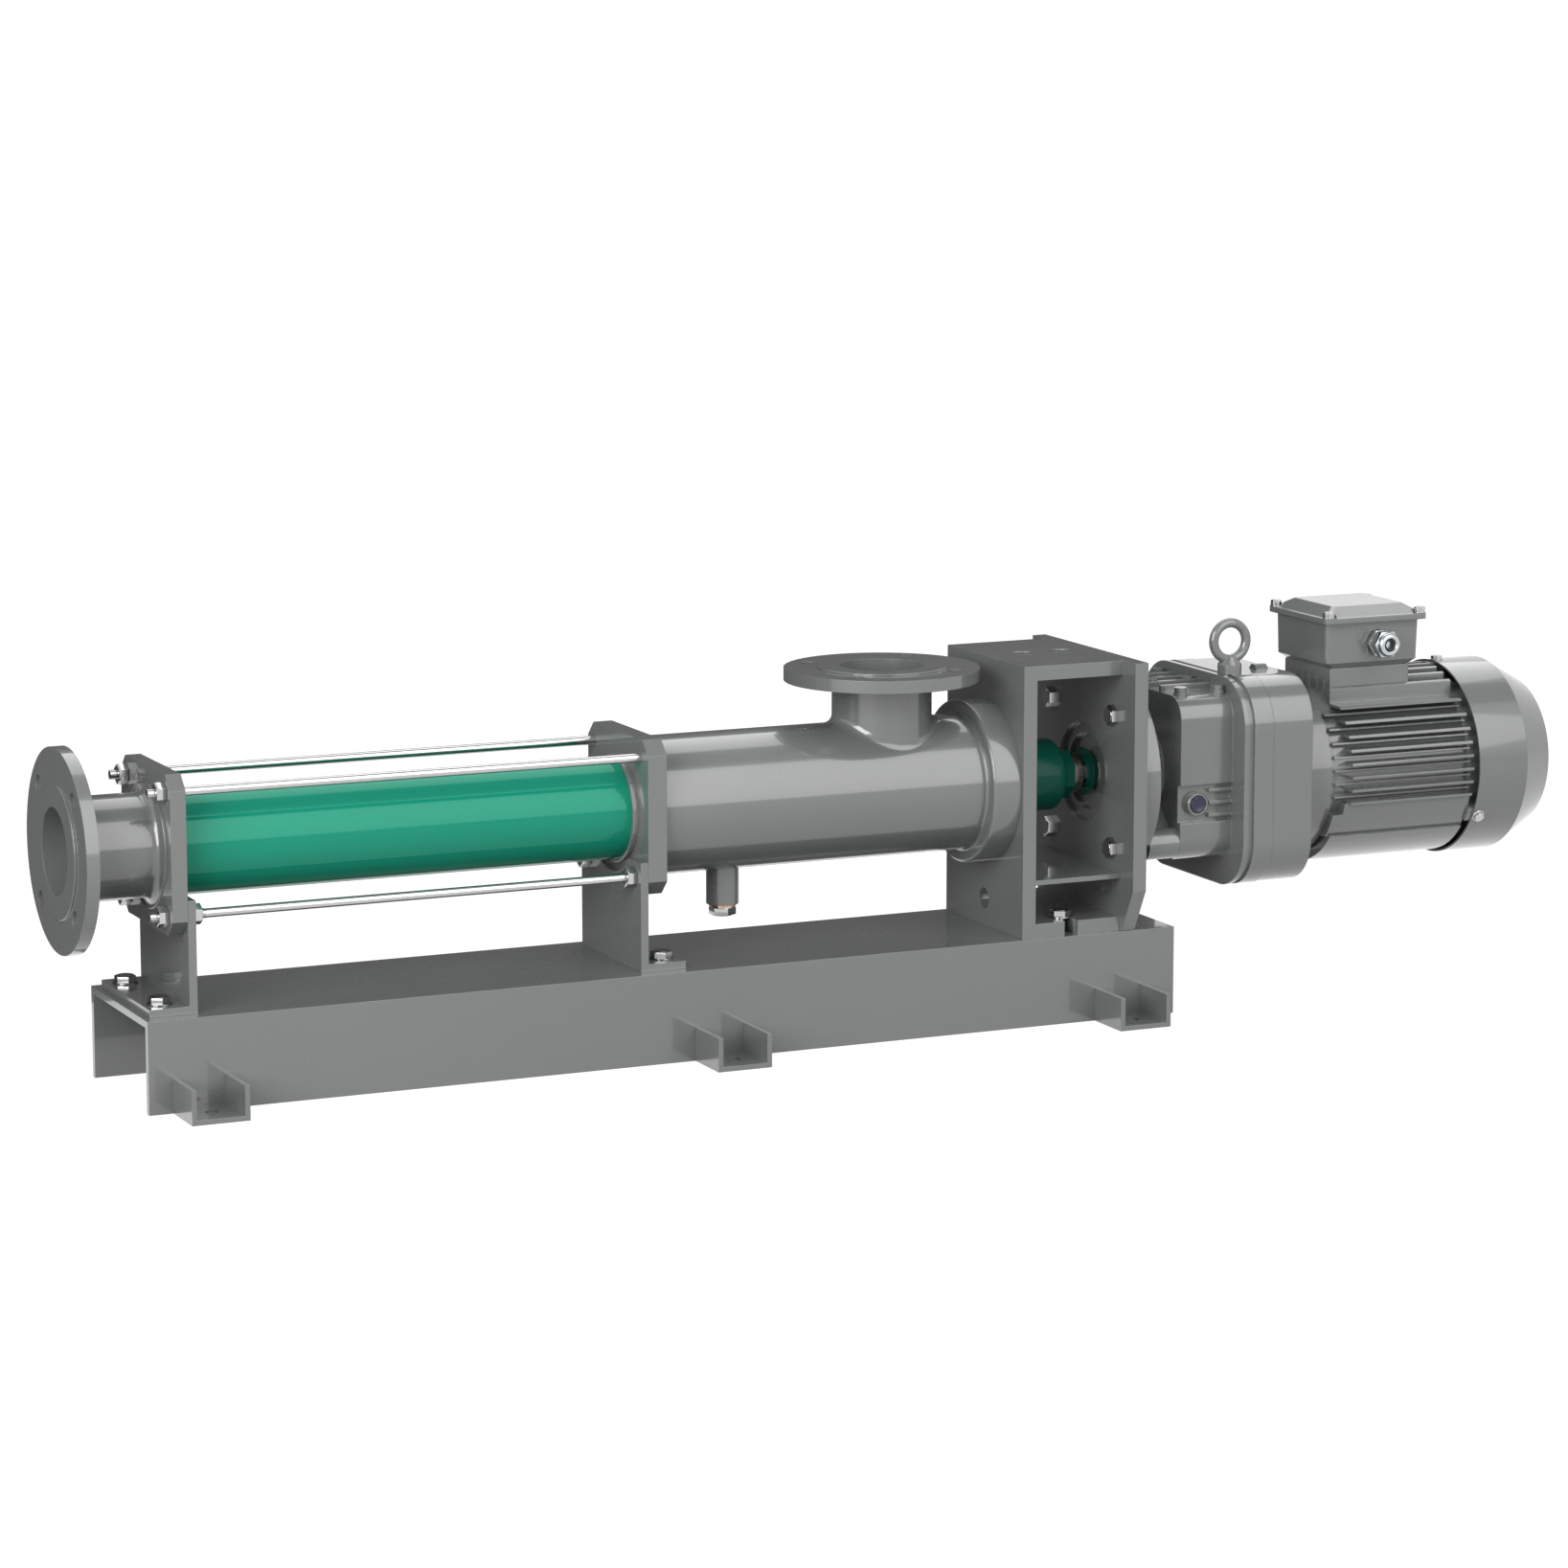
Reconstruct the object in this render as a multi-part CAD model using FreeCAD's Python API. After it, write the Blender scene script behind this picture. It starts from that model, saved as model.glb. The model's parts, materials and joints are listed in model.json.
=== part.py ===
import FreeCAD, Part
import math
import os

os.makedirs("parts", exist_ok=True)

# Progressive cavity pump on a channel base, driven by a flange-mounted gear motor.
# X runs along the shaft from the discharge flange to the motor, Z is up, Y = 0 is the shaft plane.
# Lengths are millimetres. Z = 0 is the floor, and X = 0 is the middle of the overall length.

# Frame
shaft_height = 244.0
base_length = 1103.0
base_start = 60.0
base_width = 182.0
base_height = 91.0
base_wall = 7.0
foot_width = 57.5
foot_height = 34.0
foot_wall = 5.0
foot_reach = 57.0
foot_edge = 24.0
foot_middle = 564.0
foot_far_edge = 34.0
anchor_hole = 14.0

# Pipe flanges and branches
flange_diameter = 200.0
flange_thickness = 15.0
bolt_circle = 160.0
bolt_hole = 18.0
raised_face_diameter = 132.0
raised_face_height = 2.0
branch_diameter = 102.0
branch_bore = 85.0
branch_fillet = 10.0
discharge_length = 91.0

# Plates and tie rods
plate_edge = 18.0
plate_chamfer = 14.5
end_plate_thickness = 15.5
suction_plate_thickness = 20.0
tie_rod_diameter = 9.0
tie_rod_spacing = 119.0
tie_rod_nut_width = 18.0
tie_rod_nut_height = 10.0
tie_rod_end = 7.0
tie_rod_seat_depth = 15.0

# Pumping element
stator_length = 473.5
stator_diameter = 101.6
stator_wall = 4.0
rotor_diameter = 42.0
eccentricity = 7.0
rotor_pitch = 100.0
cavity_clearance = 0.5
rotor_end_gap = 8.0

# Brackets
bracket_inset = 0.5
bracket_thickness = 8.0
bracket_leg = 48.0
bracket_top_drop = 43.0
bracket_cutout = 126.0
bracket_bolt_spacing = 108.0
bracket_bolt_edge = 17.0
bracket_bolt_diameter = 12.0
bracket_bolt_head = 19.0
bracket_bolt_head_height = 8.0

# Suction housing
housing_diameter = 139.7
housing_wall = 5.5
housing_length = 389.0
housing_flange_diameter = 168.0
housing_flange_thickness = 31.0
housing_flange_fillet = 3.0
suction_offset = 291.0
suction_height = 126.0
drain_offset = 113.5
drain_boss_diameter = 33.0
drain_boss_drop = 106.0
drain_plug_width = 24.0
drain_plug_height = 10.0
drain_thread = 20.0
drain_washer_diameter = 28.0
drain_washer_thickness = 2.0

# Lantern
lantern_length = 128.0
lantern_width = 175.0
lantern_plate = 15.0
lantern_top = 128.0
drive_plate_width = 228.0
drive_plate_chamfer_rise = 45.0
drive_plate_chamfer_run = 24.0
drive_plate_bore = 104.0
tray_thickness = 5.0
tray_drop = 93.0
lantern_port = 23.0
lantern_port_spacing = 43.0
lantern_drain_hole = 22.0
lantern_drain_drop = 125.0
slot_width = 15.0
slot_depth = 40.0
slot_offset = 56.0
lantern_bolt_diameter = 12.0
lantern_bolt_head = 19.0
lantern_bolt_head_height = 8.0
housing_screw_diameter = 8.0
housing_screw_circle = 148.0
housing_screw_head = 13.0
housing_screw_head_height = 8.0
housing_screw_engagement = 15.0

# Drive shaft and shaft seal
shaft_diameter = 28.0
seal_housing_diameter = 75.0
seal_housing_reach = 63.0
seal_housing_round = 8.0
seal_hub_sides = 8
seal_housing_hub = 50.0
seal_hub_length = 14.0
seal_collar_diameter = 41.0
seal_collar_length = 14.0
seal_collar_chamfer = 2.0
seal_spigot_diameter = 66.0
seal_ring_diameter = 44.0
seal_ring_length = 12.0
seal_chamber_gap = 2.0
seal_seat_width = 6.0
seal_seat_gap = 1.0
spring_wire = 3.0
spring_turns = 5
spring_steps = 16
slinger_diameter = 51.0
slinger_thickness = 7.0
slinger_taper = 4.0
slinger_hub_length = 3.0
slinger_hub_wall = 4.0
slinger_gap = 3.0

# Joints of the coupling rod
joint_diameter = 48.0
joint_length = 52.0
joint_socket = 30.0
joint_socket_depth = 34.0
rod_head_diameter = 27.0
rod_head_length = 30.0
rod_diameter = 20.0
joint_pin_diameter = 8.0
joint_pin_clearance = 0.8
joint_pin_recess = 1.0
thrust_ball_diameter = 8.0
ball_seat_clearance = 0.95
joint_to_plate_gap = 12.0
joint_to_seal_gap = 30.0

# Gear unit
gear_flange_diameter = 215.0
gear_flange_thickness = 20.0
gear_flange_bolt_spacing = 138.0
gear_flange_bolt_diameter = 12.0
gear_flange_bolt_head = 19.0
gear_flange_bolt_head_height = 8.0
gear_spigot_length = 10.0
gear_neck_diameter = 100.0
gear_boss_diameter = 32.0
gear_web_thickness = 14.0
gear_neck_length = 35.0
gear_case_width = 170.0
gear_case_length = 61.0
gear_case_top = 84.0
gear_case_bottom = 88.0
gear_case_round = 25.0
gear_end_wall = 24.0
gear_wall = 8.0
joint_flange_width = 220.0
joint_flange_top = 100.0
joint_flange_bottom = 119.0
joint_flange_round = 50.0
joint_flange_thickness = 6.0
joint_groove = 6.0
joint_groove_depth = 3.0
gear_cover_length = 69.0
gear_cover_end_wall = 18.0
cover_rim_length = 22.0
cover_rim_height = 0.8
cover_lug_length = 14.0
cover_lug_width = 16.0
cover_lug_height = 5.0
cover_lug_setback = 10.0
cover_lug_offset_y = 24.0
oil_plug_diameter = 18.0
oil_plug_thread = 16.0
oil_plug_socket = 9.0
oil_plug_head_height = 3.0
oil_boss_diameter = 22.0
oil_plug_drop = 28.0
oil_plug_offset = 20.0
recess_top = 8.0
recess_bottom = 47.0
recess_depth = 6.0
recess_rib_count = 3
recess_rib_length = 27.0
recess_rib_inset = 1.0
rib_height = 7.0
rib_width = 4.0
rib_count = 4
rib_spacing = 27.0
rib_first = -38.0
cap_screw_diameter = 8.0
cap_screw_head = 13.0
cap_screw_head_height = 5.0
case_pad_wall = 1.0
case_pad_height = 3.0
case_pad_root = 5.0
case_pad_offset_y = 64.0
case_pad_start_gap = 10.0
case_pad_end_gap = 8.0
eye_outer_diameter = 48.0
eye_wire = 10.0
eye_collar_width = 25.0
eye_collar_neck = 13.0
eye_collar_height = 8.0
eye_boss_height = 10.0
eye_offset_x = 4.0
eye_offset_y = 47.0

# Gears
gear_module = 1.5
output_gear_teeth = 60
lay_pinion_teeth = 20
lay_wheel_teeth = 48
motor_pinion_teeth = 16
output_gear_width = 22.0
output_gear_gap = 10.0
lay_wheel_width = 14.0
lay_wheel_gap = 17.0
pinion_overhang = 2.0
pressure_angle = 20.0
gear_root_ratio = 1.3
ball_race_ratio = 1.25
ball_width_ratio = 0.4
ball_pitch_ratio = 2.6
flank_clearance = 0.15
quill_diameter = 40.0
quill_gap = 1.0
output_seal_gap = 2.0
output_bearing_diameter = 80.0
output_bearing_width = 18.0
output_bearing_offset = 6.0
layshaft_diameter = 15.0
lay_bearing_diameter = 35.0
lay_bearing_width = 11.0

# Motor
adaptor_diameter = 180.0
adaptor_length = 34.0
adaptor_gap = 3.0
adaptor_spigot_diameter = 130.0
adaptor_round = 2.0
adaptor_end_wall = 8.0
adaptor_shaft_gap = 2.0
frame_length = 165.0
frame_wall = 11.0
frame_bore = 150.0
fin_diameter = 203.0
fin_thickness = 3.0
fin_spacing = 14.0
side_fin_count = 8
side_fin_top = 71.0
top_fin_count = 8
fin_setback = 17.0
low_fin_diameter = 188.0
low_fin_thickness = 2.0
belly_diameter = 196.0
belly_step_drop = 63.5
lower_belly_diameter = 201.0
lower_belly_setback = 4.0
belly_pocket_length = 12.0
belly_pocket_height = 12.0
motor_shaft_diameter = 24.0
pinion_shaft_diameter = 18.0
motor_bearing_diameter = 62.0
motor_bearing_width = 16.0
core_length = 110.0
rotor_core_diameter = 96.0
air_gap = 0.6
winding_length = 18.0
winding_inner_diameter = 106.0
winding_outer_diameter = 140.0
end_shield_thickness = 18.0
end_shield_diameter = 176.0
end_shield_shaft_gap = 1.0
end_shield_lug_width = 16.0
fan_gap = 8.0
fan_diameter = 160.0
fan_plate_thickness = 3.0
fan_hub_diameter = 44.0
fan_width = 26.0
fan_blades = 8
fan_blade_thickness = 3.0
fan_cover_stand = 2.0
fan_cover_wall = 2.0
fan_cover_straight = 58.5
fan_cover_cone = 41.5
fan_cover_taper = 23.5
fan_cover_overlap = 6.0
grille_rings = 5
grille_slot = 5.0
grille_step = 12.0
grille_bridge = 8.0
cover_screw_diameter = 5.0
cover_screw_head = 10.0
cover_screw_head_height = 4.0
cover_screw_length = 12.0
cover_screw_setback = 7.0

# Terminal box
box_length = 113.5
box_width = 105.0
box_start = 10.0
box_fin_gap = 7.5
box_height = 49.0
box_wall = 4.0
box_round = 5.0
box_draft = 1.0
box_foot_height = 6.0
box_neck_inset_x = 9.0
box_neck_inset_y = 6.0
lid_overhang_x = 5.5
lid_overhang_y = 9.0
lid_round = 7.0
lid_flange_thickness = 6.0
lid_rise = 10.0
lid_foot_inset = 4.0
lid_top_inset = 20.0
lid_screw_inset = 7.0
lid_screw_head = 10.0
lid_screw_head_height = 5.0
lid_screw_clearance = 9.0
gland_offset = 63.5
gland_rise = 26.0
gland_hex = 27.0
gland_hex_length = 8.0
gland_collar_length = 3.0
gland_cap_length = 9.0
gland_dome_length = 6.0
gland_dome_taper = 4.0
gland_bore = 12.0
gland_thread = 20.0
block_length = 76.0
block_width = 24.0
block_height = 12.0
block_post_diameter = 5.0
block_post_height = 8.0
block_post_spacing_x = 18.0
block_post_spacing_y = 14.0

# Fits
running_clearance = 0.05
loose_clearance = 0.5

# Stations along the shaft, from the discharge flange face
x_end_plate = discharge_length
x_stator = x_end_plate + end_plate_thickness
x_suction_plate = x_stator + stator_length
x_housing = x_suction_plate + suction_plate_thickness
x_lantern = x_housing + housing_length
x_drive_plate = x_lantern + lantern_length - lantern_plate
x_gear_flange = x_drive_plate + lantern_plate
x_gear_neck = x_gear_flange + gear_flange_thickness
x_gear_case = x_gear_neck + gear_neck_length
x_case_joint = x_gear_case + gear_case_length
x_cover = x_case_joint + joint_flange_thickness
x_adaptor = x_cover + joint_groove + gear_cover_length
x_frame = x_adaptor + adaptor_gap + adaptor_length
x_end_shield = x_frame + frame_length
x_fan_cover = x_end_shield + fan_cover_overlap
x_cover_crease = x_fan_cover + fan_cover_straight
overall_length = x_cover_crease + fan_cover_cone
x_suction = x_suction_plate + suction_offset
x_drain = x_suction_plate + drain_offset

# Heights of the shafts, and the sizes that several parts share
z_shaft = shaft_height
z_lay = z_shaft - gear_module * (output_gear_teeth + lay_pinion_teeth) / 2
z_motor = z_lay + gear_module * (motor_pinion_teeth + lay_wheel_teeth) / 2
plate_width = tie_rod_spacing + 2 * plate_edge
bracket_width = plate_width - 2 * bracket_inset
frame_core_diameter = frame_bore + 2 * frame_wall
fan_cover_diameter = fin_diameter + 2 * fan_cover_stand
fan_cover_end_diameter = fan_cover_diameter - 2 * fan_cover_taper
z_last_fin = z_motor + side_fin_top - (side_fin_count - 1) * fin_spacing
z_box = z_motor + fin_diameter / 2 + box_fin_gap
z_lid = z_box + box_height
rod_offset = tie_rod_spacing / 2
stator_radius = stator_diameter / 2
lining_radius = stator_radius - stator_wall
rotor_radius = rotor_diameter / 2
shaft_radius = shaft_diameter / 2
quill_radius = quill_diameter / 2
base_half = base_width / 2
rotor_tip = x_stator + rotor_end_gap
x_rotor_joint = x_housing + joint_to_plate_gap
x_drive_joint = x_lantern - joint_to_seal_gap - joint_length
x_output_gear = x_gear_case + gear_end_wall + output_gear_gap
x_lay_wheel = x_cover + joint_groove + lay_wheel_gap
rod_start = x_rotor_joint + joint_length - joint_socket_depth
rod_end = x_drive_joint + joint_socket_depth


def vector(x, y, z):
    return FreeCAD.Vector(x, y, z)


def block(x_range, y_range, z_range):
    size = (x_range[1] - x_range[0], y_range[1] - y_range[0], z_range[1] - z_range[0])
    return Part.makeBox(*size, vector(x_range[0], y_range[0], z_range[0]))


def bar_x(x_range, radius, y=0.0, z=z_shaft):
    return Part.makeCylinder(radius, x_range[1] - x_range[0], vector(x_range[0], y, z), vector(1, 0, 0))


def bar_y(y_range, radius, x, z):
    return Part.makeCylinder(radius, y_range[1] - y_range[0], vector(x, y_range[0], z), vector(0, 1, 0))


def bar_z(z_range, radius, x, y):
    return Part.makeCylinder(radius, z_range[1] - z_range[0], vector(x, y, z_range[0]), vector(0, 0, 1))


def ring_x(x_range, outer, inner, y=0.0, z=z_shaft):
    return bar_x(x_range, outer, y, z).cut(bar_x(x_range, inner, y, z))


def cone_x(x_range, start_radius, end_radius, z=z_shaft):
    return Part.makeCone(start_radius, end_radius, x_range[1] - x_range[0],
                         vector(x_range[0], 0, z), vector(1, 0, 0))


def prism(points, direction):
    wire = Part.makePolygon(points + [points[0]])
    return Part.Face(wire).extrude(direction)


def hexagon(centre, across_flats, direction, start_angle=0.0):
    # A hexagonal prism along X, Y or Z; start_angle turns it about its own axis.
    radius = across_flats / math.sqrt(3)
    points = []
    for corner in range(6):
        angle = math.radians(60 * corner + start_angle)
        a = radius * math.cos(angle)
        b = radius * math.sin(angle)
        if direction.x:
            offset = vector(0, a, b)
        elif direction.y:
            offset = vector(a, 0, b)
        else:
            offset = vector(a, b, 0)
        points.append(centre + offset)
    return prism(points, direction)


def union(shapes):
    whole = shapes[0].fuse(shapes[1:])
    return whole.removeSplitter()


def group(shapes):
    return Part.makeCompound(shapes)


def corners(half_y, half_z):
    return [(y, z) for y in (-half_y, half_y) for z in (-half_z, half_z)]


def circle_edges(shape, centre, radius):
    found = []
    for edge in shape.Edges:
        curve = edge.Curve
        if isinstance(curve, Part.Circle) and abs(curve.Radius - radius) < 0.01:
            if curve.Center.distanceToPoint(centre) < 0.01:
                found.append(edge)
    return found


def edges_along_x(shape, x_range):
    # Straight edges parallel to X that run between two stations.
    found = []
    for edge in shape.Edges:
        box = edge.BoundBox
        straight = isinstance(edge.Curve, Part.Line) and box.YLength < 0.01 and box.ZLength < 0.01
        if straight and abs(box.XMin - x_range[0]) < 0.01 and abs(box.XMax - x_range[1]) < 0.01:
            found.append(edge)
    return found


def rounded_outline(x_range, y_range, z, radius):
    # A closed rectangle at height z with rounded corners, as a wire.
    sheet = block(x_range, y_range, (z, z + radius))
    upright = [edge for edge in sheet.Edges if edge.BoundBox.ZLength > radius / 2]
    sheet = sheet.makeFillet(radius, upright)
    lowest = min(sheet.Faces, key=lambda face: face.BoundBox.ZMax)
    return lowest.OuterWire


def inset_range(span, inset):
    return span[0] + inset, span[1] - inset


def save(name, shape):
    moved = shape.copy()
    moved.translate(vector(-overall_length / 2, 0, 0))
    moved.exportStep("parts/" + name + ".step")


def chamfered_plate(x_range, width, chamfer):
    half = width / 2
    inner = half - chamfer
    outline = [(-inner, half), (inner, half), (half, inner), (half, -inner),
               (inner, -half), (-inner, -half), (-half, -inner), (-half, inner)]
    points = [vector(x_range[0], y, z_shaft + z) for y, z in outline]
    return prism(points, vector(x_range[1] - x_range[0], 0, 0))


# Base
def bracket_bolt_places():
    first = x_stator + bracket_thickness - bracket_leg + bracket_bolt_edge
    second = x_suction_plate - bracket_thickness + bracket_leg - bracket_bolt_edge
    half = bracket_bolt_spacing / 2
    return [(x, y) for x in (first, second) for y in (-half, half)]


def lantern_bolt_places():
    y = lantern_width / 2 - slot_depth + slot_width
    return [(x_lantern + slot_offset, side * y) for side in (-1, 1)]


def base_channel():
    x_range = (base_start, base_start + base_length)
    inner = base_half - base_wall
    shape = block(x_range, (-base_half, base_half), (0, base_height))
    shape = shape.cut(block(x_range, (-inner, inner), (0, base_height - base_wall)))
    for x, y in bracket_bolt_places():
        shape = shape.cut(bar_z((0, base_height), bracket_bolt_diameter / 2 + loose_clearance, x, y))
    for x, y in lantern_bolt_places():
        shape = shape.cut(bar_z((0, base_height), lantern_bolt_diameter / 2 + loose_clearance, x, y))
    return shape


def foot_starts():
    end = base_start + base_length - foot_far_edge - foot_width
    return [base_start + foot_edge, base_start + foot_middle, end]


def anchor_foot(x, side):
    y_range = sorted((side * base_half, side * (base_half + foot_reach)))
    foot = block((x, x + foot_width), y_range, (0, foot_height))
    foot = foot.cut(block((x + foot_wall, x + foot_width - foot_wall), y_range, (foot_wall, foot_height)))
    hole_y = side * (base_half + foot_reach / 2)
    return foot.cut(bar_z((0, foot_wall), anchor_hole / 2, x + foot_width / 2, hole_y))


def anchor_feet():
    return group([anchor_foot(x, side) for x in foot_starts() for side in (-1, 1)])


# Brackets under the two plates, each with a leg pointing away from the stator
def bracket(x_face, leg_side):
    # x_face is the face that meets the plate, and leg_side is the X direction of the leg.
    half = bracket_width / 2
    other = x_face - leg_side * bracket_thickness
    x_wall = sorted((x_face, other))
    x_leg = sorted((other, other + leg_side * bracket_leg))
    wall = block(x_wall, (-half, half), (base_height, z_shaft - bracket_top_drop))
    leg = block(x_leg, (-half, half), (base_height, base_height + bracket_thickness))
    shape = union([wall, leg])
    shape = shape.cut(bar_x(x_wall, bracket_cutout / 2))
    for y in (-rod_offset, rod_offset):
        hole = bar_x(x_wall, tie_rod_diameter / 2 + loose_clearance, y, z_shaft - rod_offset)
        shape = shape.cut(hole)
    for x, y in bracket_bolt_places():
        hole_range = (base_height, base_height + bracket_thickness)
        shape = shape.cut(bar_z(hole_range, bracket_bolt_diameter / 2 + loose_clearance, x, y))
    return shape


def bolt_down(x, y, z_top, diameter, head_width, head_height, grip):
    # A hexagon bolt pointing down, with its head on a face at z_top.
    head = hexagon(vector(x, y, z_top), head_width, vector(0, 0, head_height), 30)
    shank = bar_z((z_top - grip, z_top), diameter / 2, x, y)
    return union([head, shank])


def nut_below(x, y, z_top, diameter, width, height):
    nut = hexagon(vector(x, y, z_top - height), width, vector(0, 0, height), 30)
    return nut.cut(bar_z((z_top - height, z_top), diameter / 2, x, y))


def bracket_bolts():
    z_top = base_height + bracket_thickness
    grip = bracket_thickness + base_wall + bracket_bolt_diameter
    return group([bolt_down(x, y, z_top, bracket_bolt_diameter, bracket_bolt_head,
                            bracket_bolt_head_height, grip) for x, y in bracket_bolt_places()])


def bracket_nuts():
    z_top = base_height - base_wall
    return group([nut_below(x, y, z_top, bracket_bolt_diameter, bracket_bolt_head,
                            bracket_bolt_head_height) for x, y in bracket_bolt_places()])


# Discharge branch with its end plate
def flange_holes(centre, direction, length):
    cutters = []
    for quarter in range(4):
        angle = math.radians(45 + 90 * quarter)
        a = bolt_circle / 2 * math.cos(angle)
        b = bolt_circle / 2 * math.sin(angle)
        offset = vector(0, a, b) if direction.x else vector(a, b, 0)
        cutters.append(Part.makeCylinder(bolt_hole / 2, length, centre + offset, direction))
    return cutters


def discharge_branch():
    raised = bar_x((0, raised_face_height), raised_face_diameter / 2)
    flange = bar_x((raised_face_height, flange_thickness), flange_diameter / 2)
    pipe = bar_x((flange_thickness, x_end_plate), branch_diameter / 2)
    plate = chamfered_plate((x_end_plate, x_stator), plate_width, plate_chamfer)
    shape = union([raised, flange, pipe, plate])
    root = circle_edges(shape, vector(x_end_plate, 0, z_shaft), branch_diameter / 2)
    shape = shape.makeFillet(branch_fillet, root)
    root = circle_edges(shape, vector(flange_thickness, 0, z_shaft), branch_diameter / 2)
    shape = shape.makeFillet(housing_flange_fillet, root)
    cutters = [bar_x((0, x_stator), branch_bore / 2)]
    cutters += flange_holes(vector(0, 0, z_shaft), vector(1, 0, 0), flange_thickness)
    for y, z in corners(rod_offset, rod_offset):
        radius = tie_rod_diameter / 2 + loose_clearance
        cutters.append(bar_x((x_end_plate, x_stator), radius, y, z_shaft + z))
    return shape.cut(cutters)


# Stator, lining and rotor
def helix_along_x(x_start, length, pitch, radius, phase):
    helix = Part.makeHelix(pitch, length, radius)
    helix.rotate(vector(0, 0, 0), vector(0, 0, 1), phase)
    helix.rotate(vector(0, 0, 0), vector(0, 1, 0), 90)
    helix.translate(vector(x_start, 0, z_shaft))
    return Part.Wire(helix.Edges)


def stator_tube():
    return ring_x((x_stator, x_suction_plate), stator_radius, lining_radius)


def stadium(x, radius, half_length):
    # Two half circles joined by straight sides, long along Z like the helix start.
    top = z_shaft + half_length
    bottom = z_shaft - half_length
    upper = Part.Arc(vector(x, -radius, top), vector(x, 0, top + radius), vector(x, radius, top))
    right = Part.LineSegment(vector(x, radius, top), vector(x, radius, bottom))
    lower = Part.Arc(vector(x, radius, bottom), vector(x, 0, bottom - radius), vector(x, -radius, bottom))
    left = Part.LineSegment(vector(x, -radius, bottom), vector(x, -radius, top))
    return Part.Wire([upper.toShape(), right.toShape(), lower.toShape(), left.toShape()])


def cavity():
    # The two-start cavity turns once in twice the rotor's pitch.
    spine = Part.Wire(Part.makeLine(vector(x_stator, 0, z_shaft), vector(x_suction_plate, 0, z_shaft)))
    guide = helix_along_x(x_stator, stator_length, 2 * rotor_pitch, lining_radius, 180)
    section = stadium(x_stator, rotor_radius + cavity_clearance, 2 * eccentricity)
    shell = Part.BRepOffsetAPI.MakePipeShell(spine)
    shell.setAuxiliarySpine(guide, True, 0)
    shell.add(section, False, False)
    shell.build()
    shell.makeSolid()
    return shell.shape()


def stator_lining():
    return bar_x((x_stator, x_suction_plate), lining_radius).cut(cavity())


def rotor_phase():
    # The helix starts so that the rotor's sections lie along the cavity's long axis at rest.
    return 180 + 360 * (rotor_tip - x_stator) / rotor_pitch


def pump_rotor():
    z_axis = z_shaft + eccentricity
    length = x_rotor_joint - rotor_tip
    spine = helix_along_x(rotor_tip, length, rotor_pitch, eccentricity, rotor_phase())
    spine.translate(vector(0, 0, eccentricity))
    start = spine.Edges[0].valueAt(spine.Edges[0].FirstParameter)
    section = Part.Wire(Part.makeCircle(rotor_radius, start, vector(1, 0, 0)))
    shell = Part.BRepOffsetAPI.MakePipeShell(spine)
    shell.setTrihedronMode(vector(0, 0, 0), vector(1, 0, 0))
    shell.add(section, False, False)
    shell.build()
    shell.makeSolid()
    head_range = (x_rotor_joint, x_rotor_joint + joint_length)
    head = bar_x(head_range, joint_diameter / 2, 0, z_axis)
    socket = bar_x((rod_start, head_range[1]), joint_socket / 2, 0, z_axis)
    ball_seat = Part.makeSphere(thrust_ball_diameter / 2 + running_clearance, rotor_ball_centre())
    shape = shell.shape().fuse(head).cut([socket, ball_seat])
    return shape.cut(bar_y((-joint_diameter, joint_diameter), joint_pin_diameter / 2,
                           rotor_pin_x(), z_axis))


def rotor_ball_centre():
    return vector(rod_start, 0, z_shaft + eccentricity)


def rotor_pin_x():
    return rod_start + rod_head_length / 2


def drive_pin_x():
    return rod_end - rod_head_length / 2


def rotor_thrust_ball():
    return Part.makeSphere(thrust_ball_diameter / 2, rotor_ball_centre())


def coupling_rod():
    # The rod leans from the drive shaft's centre line to the rotor's, between the two pin centres.
    start = vector(rotor_pin_x(), 0, z_shaft + eccentricity)
    end = vector(drive_pin_x(), 0, z_shaft)
    direction = end.sub(start)
    length = direction.Length
    half_head = rod_head_length / 2 - thrust_ball_diameter / 4
    rod = Part.makeCylinder(rod_diameter / 2, length, vector(0, 0, 0), vector(1, 0, 0))
    heads = [Part.makeCylinder(rod_head_diameter / 2, 2 * half_head, vector(x - half_head, 0, 0),
                               vector(1, 0, 0)) for x in (0, length)]
    shape = union([rod] + heads)
    hole = joint_pin_diameter / 2 + joint_pin_clearance
    shape = shape.cut([bar_y((-rod_head_diameter, rod_head_diameter), hole, x, 0) for x in (0, length)])
    lean = math.degrees(math.atan2(eccentricity, end.x - start.x))
    shape.rotate(vector(0, 0, 0), vector(0, 1, 0), lean)
    shape.translate(start)
    seat_radius = thrust_ball_diameter / 2 + ball_seat_clearance
    return shape.cut(Part.makeSphere(seat_radius, rotor_ball_centre()))


def joint_pin(x, z):
    half = joint_diameter / 2 - joint_pin_recess
    return bar_y((-half, half), joint_pin_diameter / 2, x, z)


# Tie rods
def rod_places():
    return corners(rod_offset, rod_offset)


def rod_nut(x, y, z):
    centre = vector(x, y, z_shaft + z)
    nut = hexagon(centre, tie_rod_nut_width, vector(tie_rod_nut_height, 0, 0), 30)
    return nut.cut(bar_x((x, x + tie_rod_nut_height), tie_rod_diameter / 2, y, z_shaft + z))


def tie_rods():
    x_range = (x_end_plate - tie_rod_nut_height - tie_rod_end, x_suction_plate + tie_rod_seat_depth)
    return group([bar_x(x_range, tie_rod_diameter / 2, y, z_shaft + z) for y, z in rod_places()])


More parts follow.
